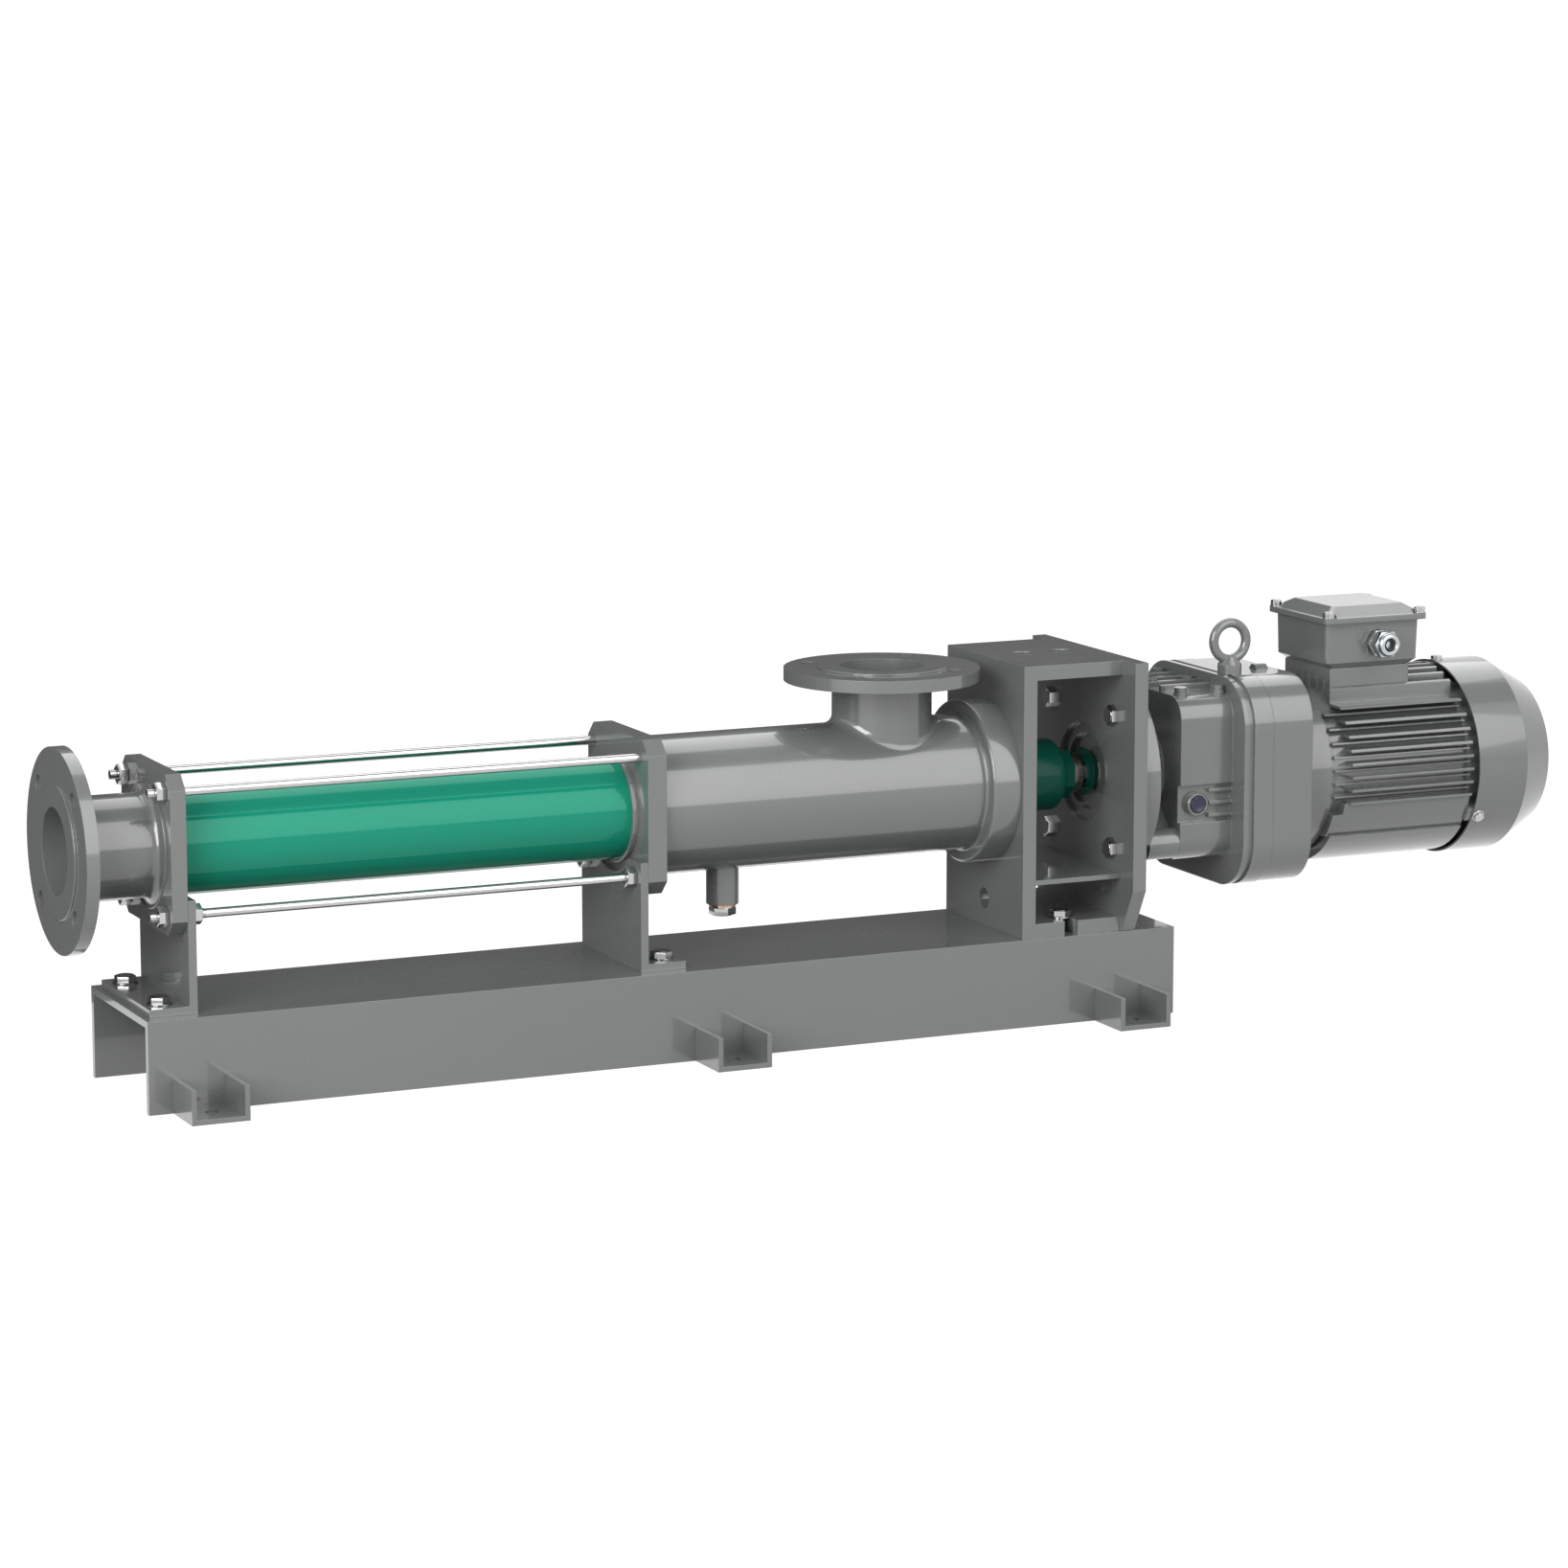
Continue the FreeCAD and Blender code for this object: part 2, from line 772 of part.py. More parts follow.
def tie_rod_nuts():
    nuts = [rod_nut(x_end_plate - tie_rod_nut_height, y, z) for y, z in rod_places()]
    for y, z in rod_places():
        if z < 0:
            nuts.append(rod_nut(x_stator + bracket_thickness, y, z))
            nuts.append(rod_nut(x_suction_plate - bracket_thickness - tie_rod_nut_height, y, z))
    return group(nuts)


# Suction housing
def suction_housing():
    radius = housing_diameter / 2
    inner = radius - housing_wall
    z_flange = z_shaft + suction_height - flange_thickness
    z_face = z_shaft + suction_height - raised_face_height
    x_flange = x_lantern - housing_flange_thickness
    plate = chamfered_plate((x_suction_plate, x_housing), plate_width, plate_chamfer)
    body = bar_x((x_housing, x_lantern), radius)
    neck = bar_z((z_shaft, z_flange), branch_diameter / 2, x_suction, 0)
    flange = bar_z((z_flange, z_face), flange_diameter / 2, x_suction, 0)
    raised = bar_z((z_face, z_shaft + suction_height), raised_face_diameter / 2, x_suction, 0)
    rear = bar_x((x_flange, x_lantern), housing_flange_diameter / 2)
    boss = bar_z((z_shaft - drain_boss_drop, z_shaft), drain_boss_diameter / 2, x_drain, 0)
    shape = union([plate, body, neck, flange, raised, rear, boss])
    shape = fillet_junction(shape, x_suction, branch_diameter / 2, branch_fillet)
    root = circle_edges(shape, vector(x_flange, 0, z_shaft), radius)
    rim = circle_edges(shape, vector(x_flange, 0, z_shaft), housing_flange_diameter / 2)
    shape = shape.makeFillet(housing_flange_fillet, root + rim)
    cutters = [bar_x((x_housing, x_lantern), inner)]
    cutters.append(bar_x((x_suction_plate, x_housing), branch_bore / 2))
    cutters.append(bar_z((z_shaft, z_shaft + suction_height), branch_bore / 2, x_suction, 0))
    cutters.append(bar_z((z_shaft - drain_boss_drop, z_shaft), drain_thread / 2, x_drain, 0))
    cutters += flange_holes(vector(x_suction, 0, z_flange), vector(0, 0, 1), flange_thickness)
    for y, z in rod_places():
        seat = bar_x((x_suction_plate, x_suction_plate + tie_rod_seat_depth), tie_rod_diameter / 2,
                     y, z_shaft + z)
        cutters.append(seat)
    cutters += housing_screw_shanks()
    return shape.cut(cutters)


def fillet_junction(shape, x, radius, fillet):
    # Rounds the saddle-shaped root where the vertical branch meets the housing.
    found = []
    for edge in shape.Edges:
        box = edge.BoundBox
        on_branch = abs(box.XMax - x - radius) < 0.5 or abs(x - radius - box.XMin) < 0.5
        curved = box.ZLength > 1.0 and not isinstance(edge.Curve, (Part.Line, Part.Circle))
        if on_branch and curved and box.ZMin > z_shaft:
            found.append(edge)
    return shape.makeFillet(fillet, found)


def drain_plug():
    z_seat = z_shaft - drain_boss_drop - drain_washer_thickness
    head = hexagon(vector(x_drain, 0, z_seat - drain_plug_height), drain_plug_width,
                   vector(0, 0, drain_plug_height), 30)
    stub = bar_z((z_seat, z_seat + drain_thread), drain_thread / 2, x_drain, 0)
    return union([head, stub])


def drain_washer():
    z_range = (z_shaft - drain_boss_drop - drain_washer_thickness, z_shaft - drain_boss_drop)
    outer = bar_z(z_range, drain_washer_diameter / 2, x_drain, 0)
    return outer.cut(bar_z(z_range, drain_thread / 2, x_drain, 0))


# Lantern between the pump and the gear unit
def drive_plate():
    half = drive_plate_width / 2
    foot = half - drive_plate_chamfer_run
    top = z_shaft + lantern_top
    knee = base_height + drive_plate_chamfer_rise
    outline = [(-half, top), (half, top), (half, knee), (foot, base_height),
               (-foot, base_height), (-half, knee)]
    points = [vector(x_drive_plate, y, z) for y, z in outline]
    return prism(points, vector(lantern_plate, 0, 0))


def gear_bolt_places():
    half = gear_flange_bolt_spacing / 2
    return corners(half, half)


def lantern_frame():
    half = lantern_width / 2
    top = z_shaft + lantern_top
    x_range = (x_lantern, x_drive_plate)
    front = block((x_lantern, x_lantern + lantern_plate), (-half, half), (base_height, top))
    roof = block(x_range, (-half, half), (top - lantern_plate, top))
    floor = block(x_range, (-half, half), (base_height, base_height + lantern_plate))
    shape = union([front, roof, floor, drive_plate()])
    middle = (x_lantern + x_drive_plate + lantern_plate) / 2
    cutters = [bar_x((x_drive_plate, x_gear_flange), drive_plate_bore / 2)]
    cutters.append(bar_x((x_lantern, x_lantern + lantern_plate), seal_spigot_diameter / 2))
    cutters.append(bar_x((x_lantern, x_lantern + lantern_plate), lantern_drain_hole / 2, 0,
                         z_shaft - lantern_drain_drop))
    for side in (-0.5, 0.5):
        x = middle + side * lantern_port_spacing
        cutters.append(bar_z((top - lantern_plate, top), lantern_port / 2, x, 0))
    for y, z in gear_bolt_places():
        radius = gear_flange_bolt_diameter / 2 + loose_clearance
        cutters.append(bar_x((x_drive_plate, x_gear_flange), radius, y, z_shaft + z))
    cutters += lantern_slots() + housing_screw_holes()
    return shape.cut(cutters)


def lantern_slots():
    slots = []
    z_range = (base_height, base_height + lantern_plate)
    for x, y in lantern_bolt_places():
        edge = math.copysign(lantern_width / 2, y)
        slots.append(block((x - slot_width / 2, x + slot_width / 2), sorted((y, edge)), z_range))
        slots.append(bar_z(z_range, slot_width / 2, x, y))
    return slots


def drip_tray():
    half = lantern_width / 2
    z_top = z_shaft - tray_drop
    return block((x_lantern + lantern_plate, x_drive_plate), (-half, half), (z_top - tray_thickness, z_top))


def lantern_bolts():
    z_top = base_height + lantern_plate
    grip = lantern_plate + base_wall + lantern_bolt_diameter
    return group([bolt_down(x, y, z_top, lantern_bolt_diameter, lantern_bolt_head,
                            lantern_bolt_head_height, grip) for x, y in lantern_bolt_places()])


def lantern_nuts():
    z_top = base_height - base_wall
    return group([nut_below(x, y, z_top, lantern_bolt_diameter, lantern_bolt_head,
                            lantern_bolt_head_height) for x, y in lantern_bolt_places()])


def housing_screw_places():
    radius = housing_screw_circle / 2
    angles = [math.radians(45 + 90 * quarter) for quarter in range(4)]
    return [(radius * math.cos(angle), radius * math.sin(angle)) for angle in angles]


def housing_screw_shanks():
    x_range = (x_lantern - housing_screw_engagement, x_lantern)
    return [bar_x(x_range, housing_screw_diameter / 2, y, z_shaft + z) for y, z in housing_screw_places()]


def housing_screw_holes():
    x_range = (x_lantern, x_lantern + lantern_plate)
    radius = housing_screw_diameter / 2 + loose_clearance
    return [bar_x(x_range, radius, y, z_shaft + z) for y, z in housing_screw_places()]


def housing_screws():
    screws = []
    x_head = x_lantern + lantern_plate
    for y, z in housing_screw_places():
        x_shank = (x_lantern - housing_screw_engagement, x_head)
        shank = bar_x(x_shank, housing_screw_diameter / 2, y, z_shaft + z)
        head = bar_x((x_head, x_head + housing_screw_head_height), housing_screw_head / 2, y, z_shaft + z)
        screws.append(union([shank, head]))
    return group(screws)


# Shaft seal and drive shaft
def seal_stations():
    start = x_lantern + lantern_plate
    disc = start + seal_housing_reach
    hub = disc + seal_hub_length
    return start, disc, hub, hub + seal_collar_length


def seal_housing():
    # A spigot in the lantern's front plate, a rounded disc and an eight-sided hub round the shaft.
    start, disc, hub, end = seal_stations()
    spigot = bar_x((x_lantern - lantern_plate, start), seal_spigot_diameter / 2)
    barrel = bar_x((start, disc), seal_housing_diameter / 2)
    rim = circle_edges(barrel, vector(disc, 0, z_shaft), seal_housing_diameter / 2)
    barrel = barrel.makeFillet(seal_housing_round, rim)
    radius = seal_housing_hub / 2 / math.cos(math.pi / seal_hub_sides)
    points = []
    for side in range(seal_hub_sides):
        angle = math.pi * (2 * side + 1) / seal_hub_sides
        points.append(vector(disc, radius * math.cos(angle), z_shaft + radius * math.sin(angle)))
    nose = prism(points, vector(seal_hub_length, 0, 0))
    shape = union([spigot, barrel, nose])
    chamber = seal_ring_diameter / 2 + seal_chamber_gap
    shape = shape.cut(bar_x((x_lantern - lantern_plate, start + seal_ring_length), chamber))
    return shape.cut(bar_x((x_lantern, hub), shaft_radius + loose_clearance))


def seal_collar():
    start, disc, hub, end = seal_stations()
    shape = ring_x((hub, end), seal_collar_diameter / 2, shaft_radius + loose_clearance)
    rim = circle_edges(shape, vector(end, 0, z_shaft), seal_collar_diameter / 2)
    return shape.makeChamfer(seal_collar_chamfer, rim)


def seal_face():
    # The station where the turning ring runs on the fixed one.
    return x_lantern + lantern_plate + seal_ring_length - seal_seat_width


def seal_seat():
    x_range = (seal_face(), seal_face() + seal_seat_width)
    return ring_x(x_range, seal_ring_diameter / 2 + seal_chamber_gap, shaft_radius + seal_seat_gap)


def rotating_seal_ring():
    x_range = (seal_face() - seal_ring_length, seal_face())
    return ring_x(x_range, seal_ring_diameter / 2, shaft_radius)


def seal_spring():
    end = seal_face() - seal_ring_length
    start = x_drive_joint + joint_length
    length = end - start - spring_wire
    radius = shaft_radius + spring_wire
    steps = spring_turns * spring_steps
    points = []
    for step in range(steps + 1):
        angle = 2 * math.pi * step / spring_steps
        x = start + spring_wire / 2 + length * step / steps
        points.append(vector(x, radius * math.cos(angle), z_shaft + radius * math.sin(angle)))
    curve = Part.BSplineCurve()
    curve.interpolate(points)
    tangent = curve.tangent(curve.FirstParameter)[0]
    section = Part.Wire(Part.makeCircle(spring_wire / 2, points[0], tangent))
    return Part.Wire(curve.toShape()).makePipeShell([section], True, True)


def drive_shaft():
    head = bar_x((x_drive_joint, x_drive_joint + joint_length), joint_diameter / 2)
    stem = bar_x((x_drive_joint + joint_length, x_output_gear + output_gear_width), shaft_radius)
    shape = union([head, stem])
    shape = shape.cut(bar_x((x_drive_joint, rod_end), joint_socket / 2))
    return shape.cut(bar_y((-joint_diameter, joint_diameter), joint_pin_diameter / 2,
                           drive_pin_x(), z_shaft))


def slinger_ring():
    end = slinger_end()
    start = end - slinger_thickness
    hub_start = start - slinger_hub_length
    disc = cone_x((start, end), slinger_diameter / 2, slinger_diameter / 2 - slinger_taper)
    hub = bar_x((hub_start, start), shaft_radius + slinger_hub_wall)
    return union([disc, hub]).cut(bar_x((hub_start, end), shaft_radius))


def slinger_end():
    return x_gear_flange - gear_spigot_length + slinger_gap


# Gears
def involute(angle):
    return math.tan(angle) - angle


def gear(x_range, teeth, bore, z, tooth_up):
    # An involute spur gear; tooth_up puts a tooth at the top, otherwise a gap.
    pitch_radius = gear_module * teeth / 2
    base_radius = pitch_radius * math.cos(math.radians(pressure_angle))
    tip_radius = pitch_radius + gear_module
    root_radius = pitch_radius - gear_root_ratio * gear_module
    half_tooth = (math.pi / 2 - 2 * flank_clearance / gear_module) / teeth
    start = half_tooth + involute(math.radians(pressure_angle))
    flank = []
    lowest = max(base_radius, root_radius)
    for step in range(5):
        radius = lowest + (tip_radius - lowest) * step / 4
        spread = start - involute(math.acos(min(1.0, base_radius / radius)))
        flank.append((radius, spread))
    if root_radius < base_radius:
        flank.insert(0, (root_radius, start))
    points = []
    turn = 0.0 if tooth_up else math.pi / teeth
    for tooth in range(teeth):
        middle = math.pi / 2 + turn + 2 * math.pi * tooth / teeth
        for radius, spread in flank:
            points.append((radius, middle - spread))
        for radius, spread in reversed(flank):
            points.append((radius, middle + spread))
    corners_3d = [vector(x_range[0], r * math.cos(a), z + r * math.sin(a)) for r, a in points]
    body = prism(corners_3d, vector(x_range[1] - x_range[0], 0, 0))
    return body.cut(bar_x(x_range, bore, 0, z))


def output_gear():
    x_range = (x_output_gear, x_output_gear + output_gear_width)
    return gear(x_range, output_gear_teeth, quill_radius, z_shaft, True)


def output_quill():
    x_range = (slinger_end() + quill_gap, x_output_gear + output_gear_width)
    return ring_x(x_range, quill_radius, shaft_radius)


def output_bearing_starts():
    first = x_gear_flange + output_bearing_offset
    second = x_gear_case + gear_end_wall - output_bearing_width
    return [first, second]


def bearing(x, width, outer, inner, z):
    # Inner and outer race with a ring of balls between them.
    race = (outer - inner) / 4
    middle = (outer + inner) / 2
    outside = ring_x((x, x + width), outer, outer - race, 0, z)
    inside = ring_x((x, x + width), inner + race, inner, 0, z)
    ball_radius = min(race * ball_race_ratio, width * ball_width_ratio)
    balls = []
    count = int(2 * math.pi * middle / (ball_pitch_ratio * ball_radius))
    for ball in range(count):
        angle = 2 * math.pi * ball / count
        centre = vector(x + width / 2, middle * math.cos(angle), z + middle * math.sin(angle))
        balls.append(Part.makeSphere(ball_radius, centre))
    track = Part.makeTorus(middle, ball_radius, vector(x + width / 2, 0, z), vector(1, 0, 0))
    return [outside.cut(track), inside.cut(track)] + balls


def bearing_pair(starts, width, outer, inner, z):
    parts = []
    for x in starts:
        parts += bearing(x, width, outer, inner + running_clearance, z)
    return group(parts)


def output_bearings():
    return bearing_pair(output_bearing_starts(), output_bearing_width,
                        output_bearing_diameter / 2, quill_radius, z_shaft)


def output_seal():
    start = slinger_end() + output_seal_gap
    end = output_bearing_starts()[0]
    return ring_x((start, end), output_bearing_diameter / 2, quill_radius + running_clearance)


def lay_bearing_starts():
    return [x_gear_case + gear_end_wall - lay_bearing_width, x_adaptor - gear_cover_end_wall]


def lay_bearings():
    return bearing_pair(lay_bearing_starts(), lay_bearing_width,
                        lay_bearing_diameter / 2, layshaft_diameter / 2, z_lay)


def layshaft():
    start, last = lay_bearing_starts()
    shaft = bar_x((start, last + lay_bearing_width), layshaft_diameter / 2, 0, z_lay)
    x_range = (x_output_gear - pinion_overhang, x_output_gear + output_gear_width + pinion_overhang)
    pinion = gear(x_range, lay_pinion_teeth, layshaft_diameter / 4, z_lay, False)
    return union([pinion, shaft])


def lay_wheel():
    x_range = (x_lay_wheel, x_lay_wheel + lay_wheel_width)
    return gear(x_range, lay_wheel_teeth, layshaft_diameter / 2, z_lay, True)


# Gear housing
def rounded_plate(x_range, inset):
    half = joint_flange_width / 2 - inset
    bottom = z_shaft - joint_flange_bottom + inset
    top = z_shaft + joint_flange_top - inset
    shape = block(x_range, (-half, half), (bottom, top))
    return shape.makeFillet(joint_flange_round - inset, edges_along_x(shape, x_range))


def case_pads():
    # Screw pads on the roof of the case, in two rows of three.
    x_pads = (x_gear_case + case_pad_start_gap, x_case_joint - case_pad_end_gap)
    return [(x, y) for x in x_pads for y in (-case_pad_offset_y, 0.0, case_pad_offset_y)]


def gear_case():
    half = gear_case_width / 2
    z_top = z_shaft + gear_case_top
    z_bottom = z_shaft - gear_case_bottom
    x_body = (x_gear_case, x_case_joint)
    body = block(x_body, (-half, half), (z_bottom, z_top))
    body = body.makeFillet(gear_case_round, edges_along_x(body, x_body))
    z_recess = (z_shaft - recess_bottom, z_shaft - recess_top)
    front_recess = block(x_body, (-half, recess_depth - half), z_recess)
    body = body.cut(front_recess)
    spigot = bar_x((x_gear_flange - gear_spigot_length, x_gear_flange), drive_plate_bore / 2)
    flange = bar_x((x_gear_flange, x_gear_neck), gear_flange_diameter / 2)
    neck = bar_x((x_gear_neck, x_gear_case), gear_neck_diameter / 2)
    shapes = [body, spigot, flange, neck, rounded_plate((x_case_joint, x_cover), 0.0)]
    shapes += lower_bosses() + case_ribs(z_top) + recess_ribs(half)
    z_pad = (z_top - case_pad_root, z_top + case_pad_height)
    for x, y in case_pads():
        shapes.append(bar_z(z_pad, cap_screw_head / 2 + case_pad_wall, x, y))
    y_boss = (-half, recess_depth - half)
    x_plug = x_gear_case + oil_plug_offset
    shapes.append(bar_y(y_boss, oil_boss_diameter / 2, x_plug, z_shaft - oil_plug_drop))
    shape = union(shapes)
    return shape.cut(gear_case_cutters(half, z_top, z_bottom))


def lower_bosses():
    # Two round arms run from the flange to the case, each with a slanting web up to the neck.
    shapes = []
    reach = gear_flange_bolt_spacing / 2
    half_web = gear_web_thickness / 2
    length = x_gear_case - x_gear_neck
    for side in (-1, 1):
        z_boss = z_shaft - reach
        shapes.append(bar_x((x_gear_neck, x_gear_case), gear_boss_diameter / 2, side * reach, z_boss))
        outline = [(side * half_web, z_shaft), (side * reach, z_boss + half_web),
                   (side * (reach - half_web), z_boss), (0.0, z_shaft - half_web)]
        points = [vector(x_gear_neck, y, z) for y, z in outline]
        shapes.append(prism(points, vector(length, 0, 0)))
    return shapes


def gear_case_cutters(half, z_top, z_bottom):
    x_room = (x_gear_case + gear_end_wall, x_cover)
    room = block(x_room, (gear_wall - half, half - gear_wall), (z_bottom + gear_wall, z_top - gear_wall))
    room = room.makeFillet(gear_case_round - gear_wall, edges_along_x(room, x_room))
    cutters = [room]
    x_bore = (x_gear_flange - gear_spigot_length, x_gear_case + gear_end_wall)
    cutters.append(bar_x(x_bore, output_bearing_diameter / 2))
    start = lay_bearing_starts()[0]
    cutters.append(bar_x((start, x_room[0]), lay_bearing_diameter / 2, 0, z_lay))
    for y, z in gear_bolt_places():
        x_range = (x_gear_flange, x_gear_neck)
        cutters.append(bar_x(x_range, gear_flange_bolt_diameter / 2, y, z_shaft + z))
    z_screw = (z_top - case_pad_root, z_top + case_pad_height)
    for x, y in case_pads():
        cutters.append(bar_z(z_screw, cap_screw_diameter / 2, x, y))
    cutters.append(bar_y((-half, gear_wall - half), oil_plug_thread / 2,
                         x_gear_case + oil_plug_offset, z_shaft - oil_plug_drop))
    return cutters


def case_ribs(z_top):
    ribs = []
    for rib in range(rib_count):
        y = rib_first + rib * rib_spacing
        y_range = (y - rib_width / 2, y + rib_width / 2)
        ribs.append(block((x_gear_case, x_case_joint), y_range, (z_top, z_top + rib_height)))
    return ribs


def recess_ribs(half):
    ribs = []
    spacing = (recess_bottom - recess_top) / recess_rib_count
    x_range = (x_case_joint - recess_rib_length, x_case_joint)
    for rib in range(recess_rib_count):
        z = z_shaft - recess_top - spacing * rib - spacing / 2
        z_range = (z - rib_width / 2, z + rib_width / 2)
        ribs.append(block(x_range, (recess_rib_inset - half, recess_depth - half), z_range))
    return ribs


def case_screws():
    screws = []
    z_top = z_shaft + gear_case_top
    z_seat = z_top + case_pad_height
    for x, y in case_pads():
        shank = bar_z((z_top - case_pad_root, z_seat), cap_screw_diameter / 2, x, y)
        head = bar_z((z_seat, z_seat + cap_screw_head_height), cap_screw_head / 2, x, y)
        screws.append(union([shank, head]))
    return group(screws)


def oil_plug():
    half = gear_case_width / 2
    x = x_gear_case + oil_plug_offset
    z = z_shaft - oil_plug_drop
    head = bar_y((-half - oil_plug_head_height, -half), oil_plug_diameter / 2, x, z)
    stub = bar_y((-half, gear_wall - half), oil_plug_thread / 2, x, z)
    socket = hexagon(vector(x, -half - oil_plug_head_height, z), oil_plug_socket,
                     vector(0, oil_plug_head_height, 0))
    return union([head, stub]).cut(socket)


def gear_cover():
    x_body = (x_cover + joint_groove, x_adaptor)
    groove = rounded_plate((x_cover, x_cover + joint_groove), joint_groove_depth)
    body = rounded_plate(x_body, cover_rim_height)
    rim = rounded_plate((x_body[0], x_body[0] + cover_rim_length), 0.0)
    spigot = bar_x((x_adaptor, x_adaptor + adaptor_gap), adaptor_spigot_diameter / 2, 0, z_motor)
    x, y, z_seat = eye_place()
    z_roof = z_seat - eye_boss_height
    boss = bar_z((z_roof, z_seat), eye_collar_width / 2, x, y)
    shape = union([groove, body, rim, spigot, boss, cover_lug()])
    room = rounded_plate((x_cover, x_adaptor - gear_cover_end_wall), gear_wall)
    cutters = [room]
    start = lay_bearing_starts()[1]
    cutters.append(bar_x((start, start + lay_bearing_width), lay_bearing_diameter / 2, 0, z_lay))
    x_bore = (x_adaptor - gear_cover_end_wall, x_adaptor + adaptor_gap)
    cutters.append(bar_x(x_bore, lay_bearing_diameter / 2, 0, z_motor))
    cutters.append(bar_z((z_roof, z_seat), eye_wire / 2, x, y))
    return shape.cut(cutters)


def cover_lug():
    # A cast lug stands on the roof of the cover behind the lifting eye.
    x = x_adaptor - cover_lug_setback
    half = cover_lug_width / 2
    z_roof = z_shaft + joint_flange_top - cover_rim_height
    outline = [(half, z_roof), (-half, z_roof), (-half + cover_lug_height, z_roof + cover_lug_height),
               (half - cover_lug_height, z_roof + cover_lug_height)]
    points = [vector(x, y - cover_lug_offset_y, z) for y, z in outline]
    return prism(points, vector(-cover_lug_length, 0, 0))


def eye_place():
    # The lifting eye is seated on a boss at the front edge of the cover's roof.
    x = x_cover + joint_groove + eye_offset_x
    return x, -eye_offset_y, z_shaft + joint_flange_top + eye_boss_height


def eye_bolt():
    x, y, z = eye_place()
    middle = (eye_outer_diameter - eye_wire) / 2
    z_ring = z + eye_outer_diameter / 2
    ring = Part.makeTorus(middle, eye_wire / 2, vector(x, y, z_ring), vector(0, 1, 0))
    collar = Part.makeCone(eye_collar_width / 2, eye_collar_neck / 2, eye_collar_height, vector(x, y, z))
    thread = bar_z((z - eye_boss_height, z), eye_wire / 2, x, y)
    return union([ring, collar, thread])


def gear_flange_bolts():
    bolts = []
    for y, z in gear_bolt_places():
        centre = vector(x_drive_plate - gear_flange_bolt_head_height, y, z_shaft + z)
        head = hexagon(centre, gear_flange_bolt_head, vector(gear_flange_bolt_head_height, 0, 0), 30)
        shank = bar_x((x_drive_plate, x_gear_neck), gear_flange_bolt_diameter / 2, y, z_shaft + z)
        bolts.append(union([head, shank]))
    return group(bolts)


# Motor
def motor_adaptor():
    x_range = (x_adaptor + adaptor_gap, x_frame)
    disc = bar_x(x_range, adaptor_diameter / 2, 0, z_motor)
    rim = circle_edges(disc, vector(x_range[0], 0, z_motor), adaptor_diameter / 2)
    disc = disc.makeFillet(adaptor_round, rim)
    pocket = bar_x((motor_bearing_starts()[0], x_frame), motor_bearing_diameter / 2, 0, z_motor)
    passage = bar_x(x_range, motor_shaft_diameter / 2 + adaptor_shaft_gap, 0, z_motor)
    return disc.cut([pocket, passage])


def motor_bearing_starts():
    return [x_adaptor + adaptor_gap + adaptor_end_wall, x_end_shield]


def motor_bearings():
    return bearing_pair(motor_bearing_starts(), motor_bearing_width,
                        motor_bearing_diameter / 2, motor_shaft_diameter / 2, z_motor)


def pinion_seal():
    x_range = (x_adaptor - gear_cover_end_wall, x_adaptor)
    outer = lay_bearing_diameter / 2
    return ring_x(x_range, outer, pinion_shaft_diameter / 2 + running_clearance, 0, z_motor)


def fins_between(x_start, diameter, blocks):
    # Trims a set of fin blanks to a common tip circle.
    limit = bar_x((x_start, x_end_shield), diameter / 2, 0, z_motor)
    return [blank.common(limit) for blank in blocks]


def side_fins(x_start, diameter, thickness, z_top, count):
    x_range = (x_start, x_end_shield)
    tip = diameter / 2
    blanks = []
    for fin in range(count):
        z = z_top - fin * fin_spacing
        blanks.append(block(x_range, (-tip, tip), (z - thickness / 2, z + thickness / 2)))
    return fins_between(x_start, diameter, blanks)


def top_fins():
    x_start = x_frame + fin_setback
    tip = fin_diameter / 2
    blanks = []
    for fin in range(top_fin_count):
        y = (fin - (top_fin_count - 1) / 2) * fin_spacing
        y_range = (y - fin_thickness / 2, y + fin_thickness / 2)
        blanks.append(block((x_start, x_end_shield), y_range, (z_motor, z_motor + tip)))
    return fins_between(x_start, fin_diameter, blanks)


def frame_belly():
    # The plain round underside below the lowest fins, in two steps, with a pocket at its front.
    z_step = z_motor - belly_step_drop
    upper_half = belly_diameter / 2
    lower_half = lower_belly_diameter / 2
    x_upper = (x_frame, x_end_shield)
    x_lower = (x_frame + lower_belly_setback, x_end_shield)
    upper = bar_x(x_upper, upper_half, 0, z_motor)
    upper = upper.common(block(x_upper, (-upper_half, upper_half), (z_step, z_last_fin)))
    pocket = block((x_frame, x_frame + belly_pocket_length), (-upper_half, upper_half),
                   (z_last_fin - belly_pocket_height, z_last_fin))
    lower = bar_x(x_lower, lower_half, 0, z_motor)
    lower = lower.common(block(x_lower, (-lower_half, lower_half), (z_motor - lower_half, z_step)))
    return [upper.cut(pocket), lower]


def motor_frame():
    x_range = (x_frame, x_end_shield)
    z_side = z_motor + side_fin_top
    core = bar_x(x_range, frame_core_diameter / 2, 0, z_motor)
    fins = side_fins(x_frame + fin_setback, fin_diameter, fin_thickness, z_side, side_fin_count)
    fins += side_fins(x_frame, low_fin_diameter, low_fin_thickness, z_side - fin_spacing / 2,
                      side_fin_count - 1)
    shape = union([core, terminal_neck()] + fins + top_fins() + frame_belly())
    return shape.cut(bar_x(x_range, frame_bore / 2, 0, z_motor))


def box_ranges():
    x_start = x_frame + box_start
    return (x_start, x_start + box_length), (-box_width / 2, box_width / 2)


def neck_ranges():
    x_box, y_box = box_ranges()
    return inset_range(x_box, box_neck_inset_x), inset_range(y_box, box_neck_inset_y)


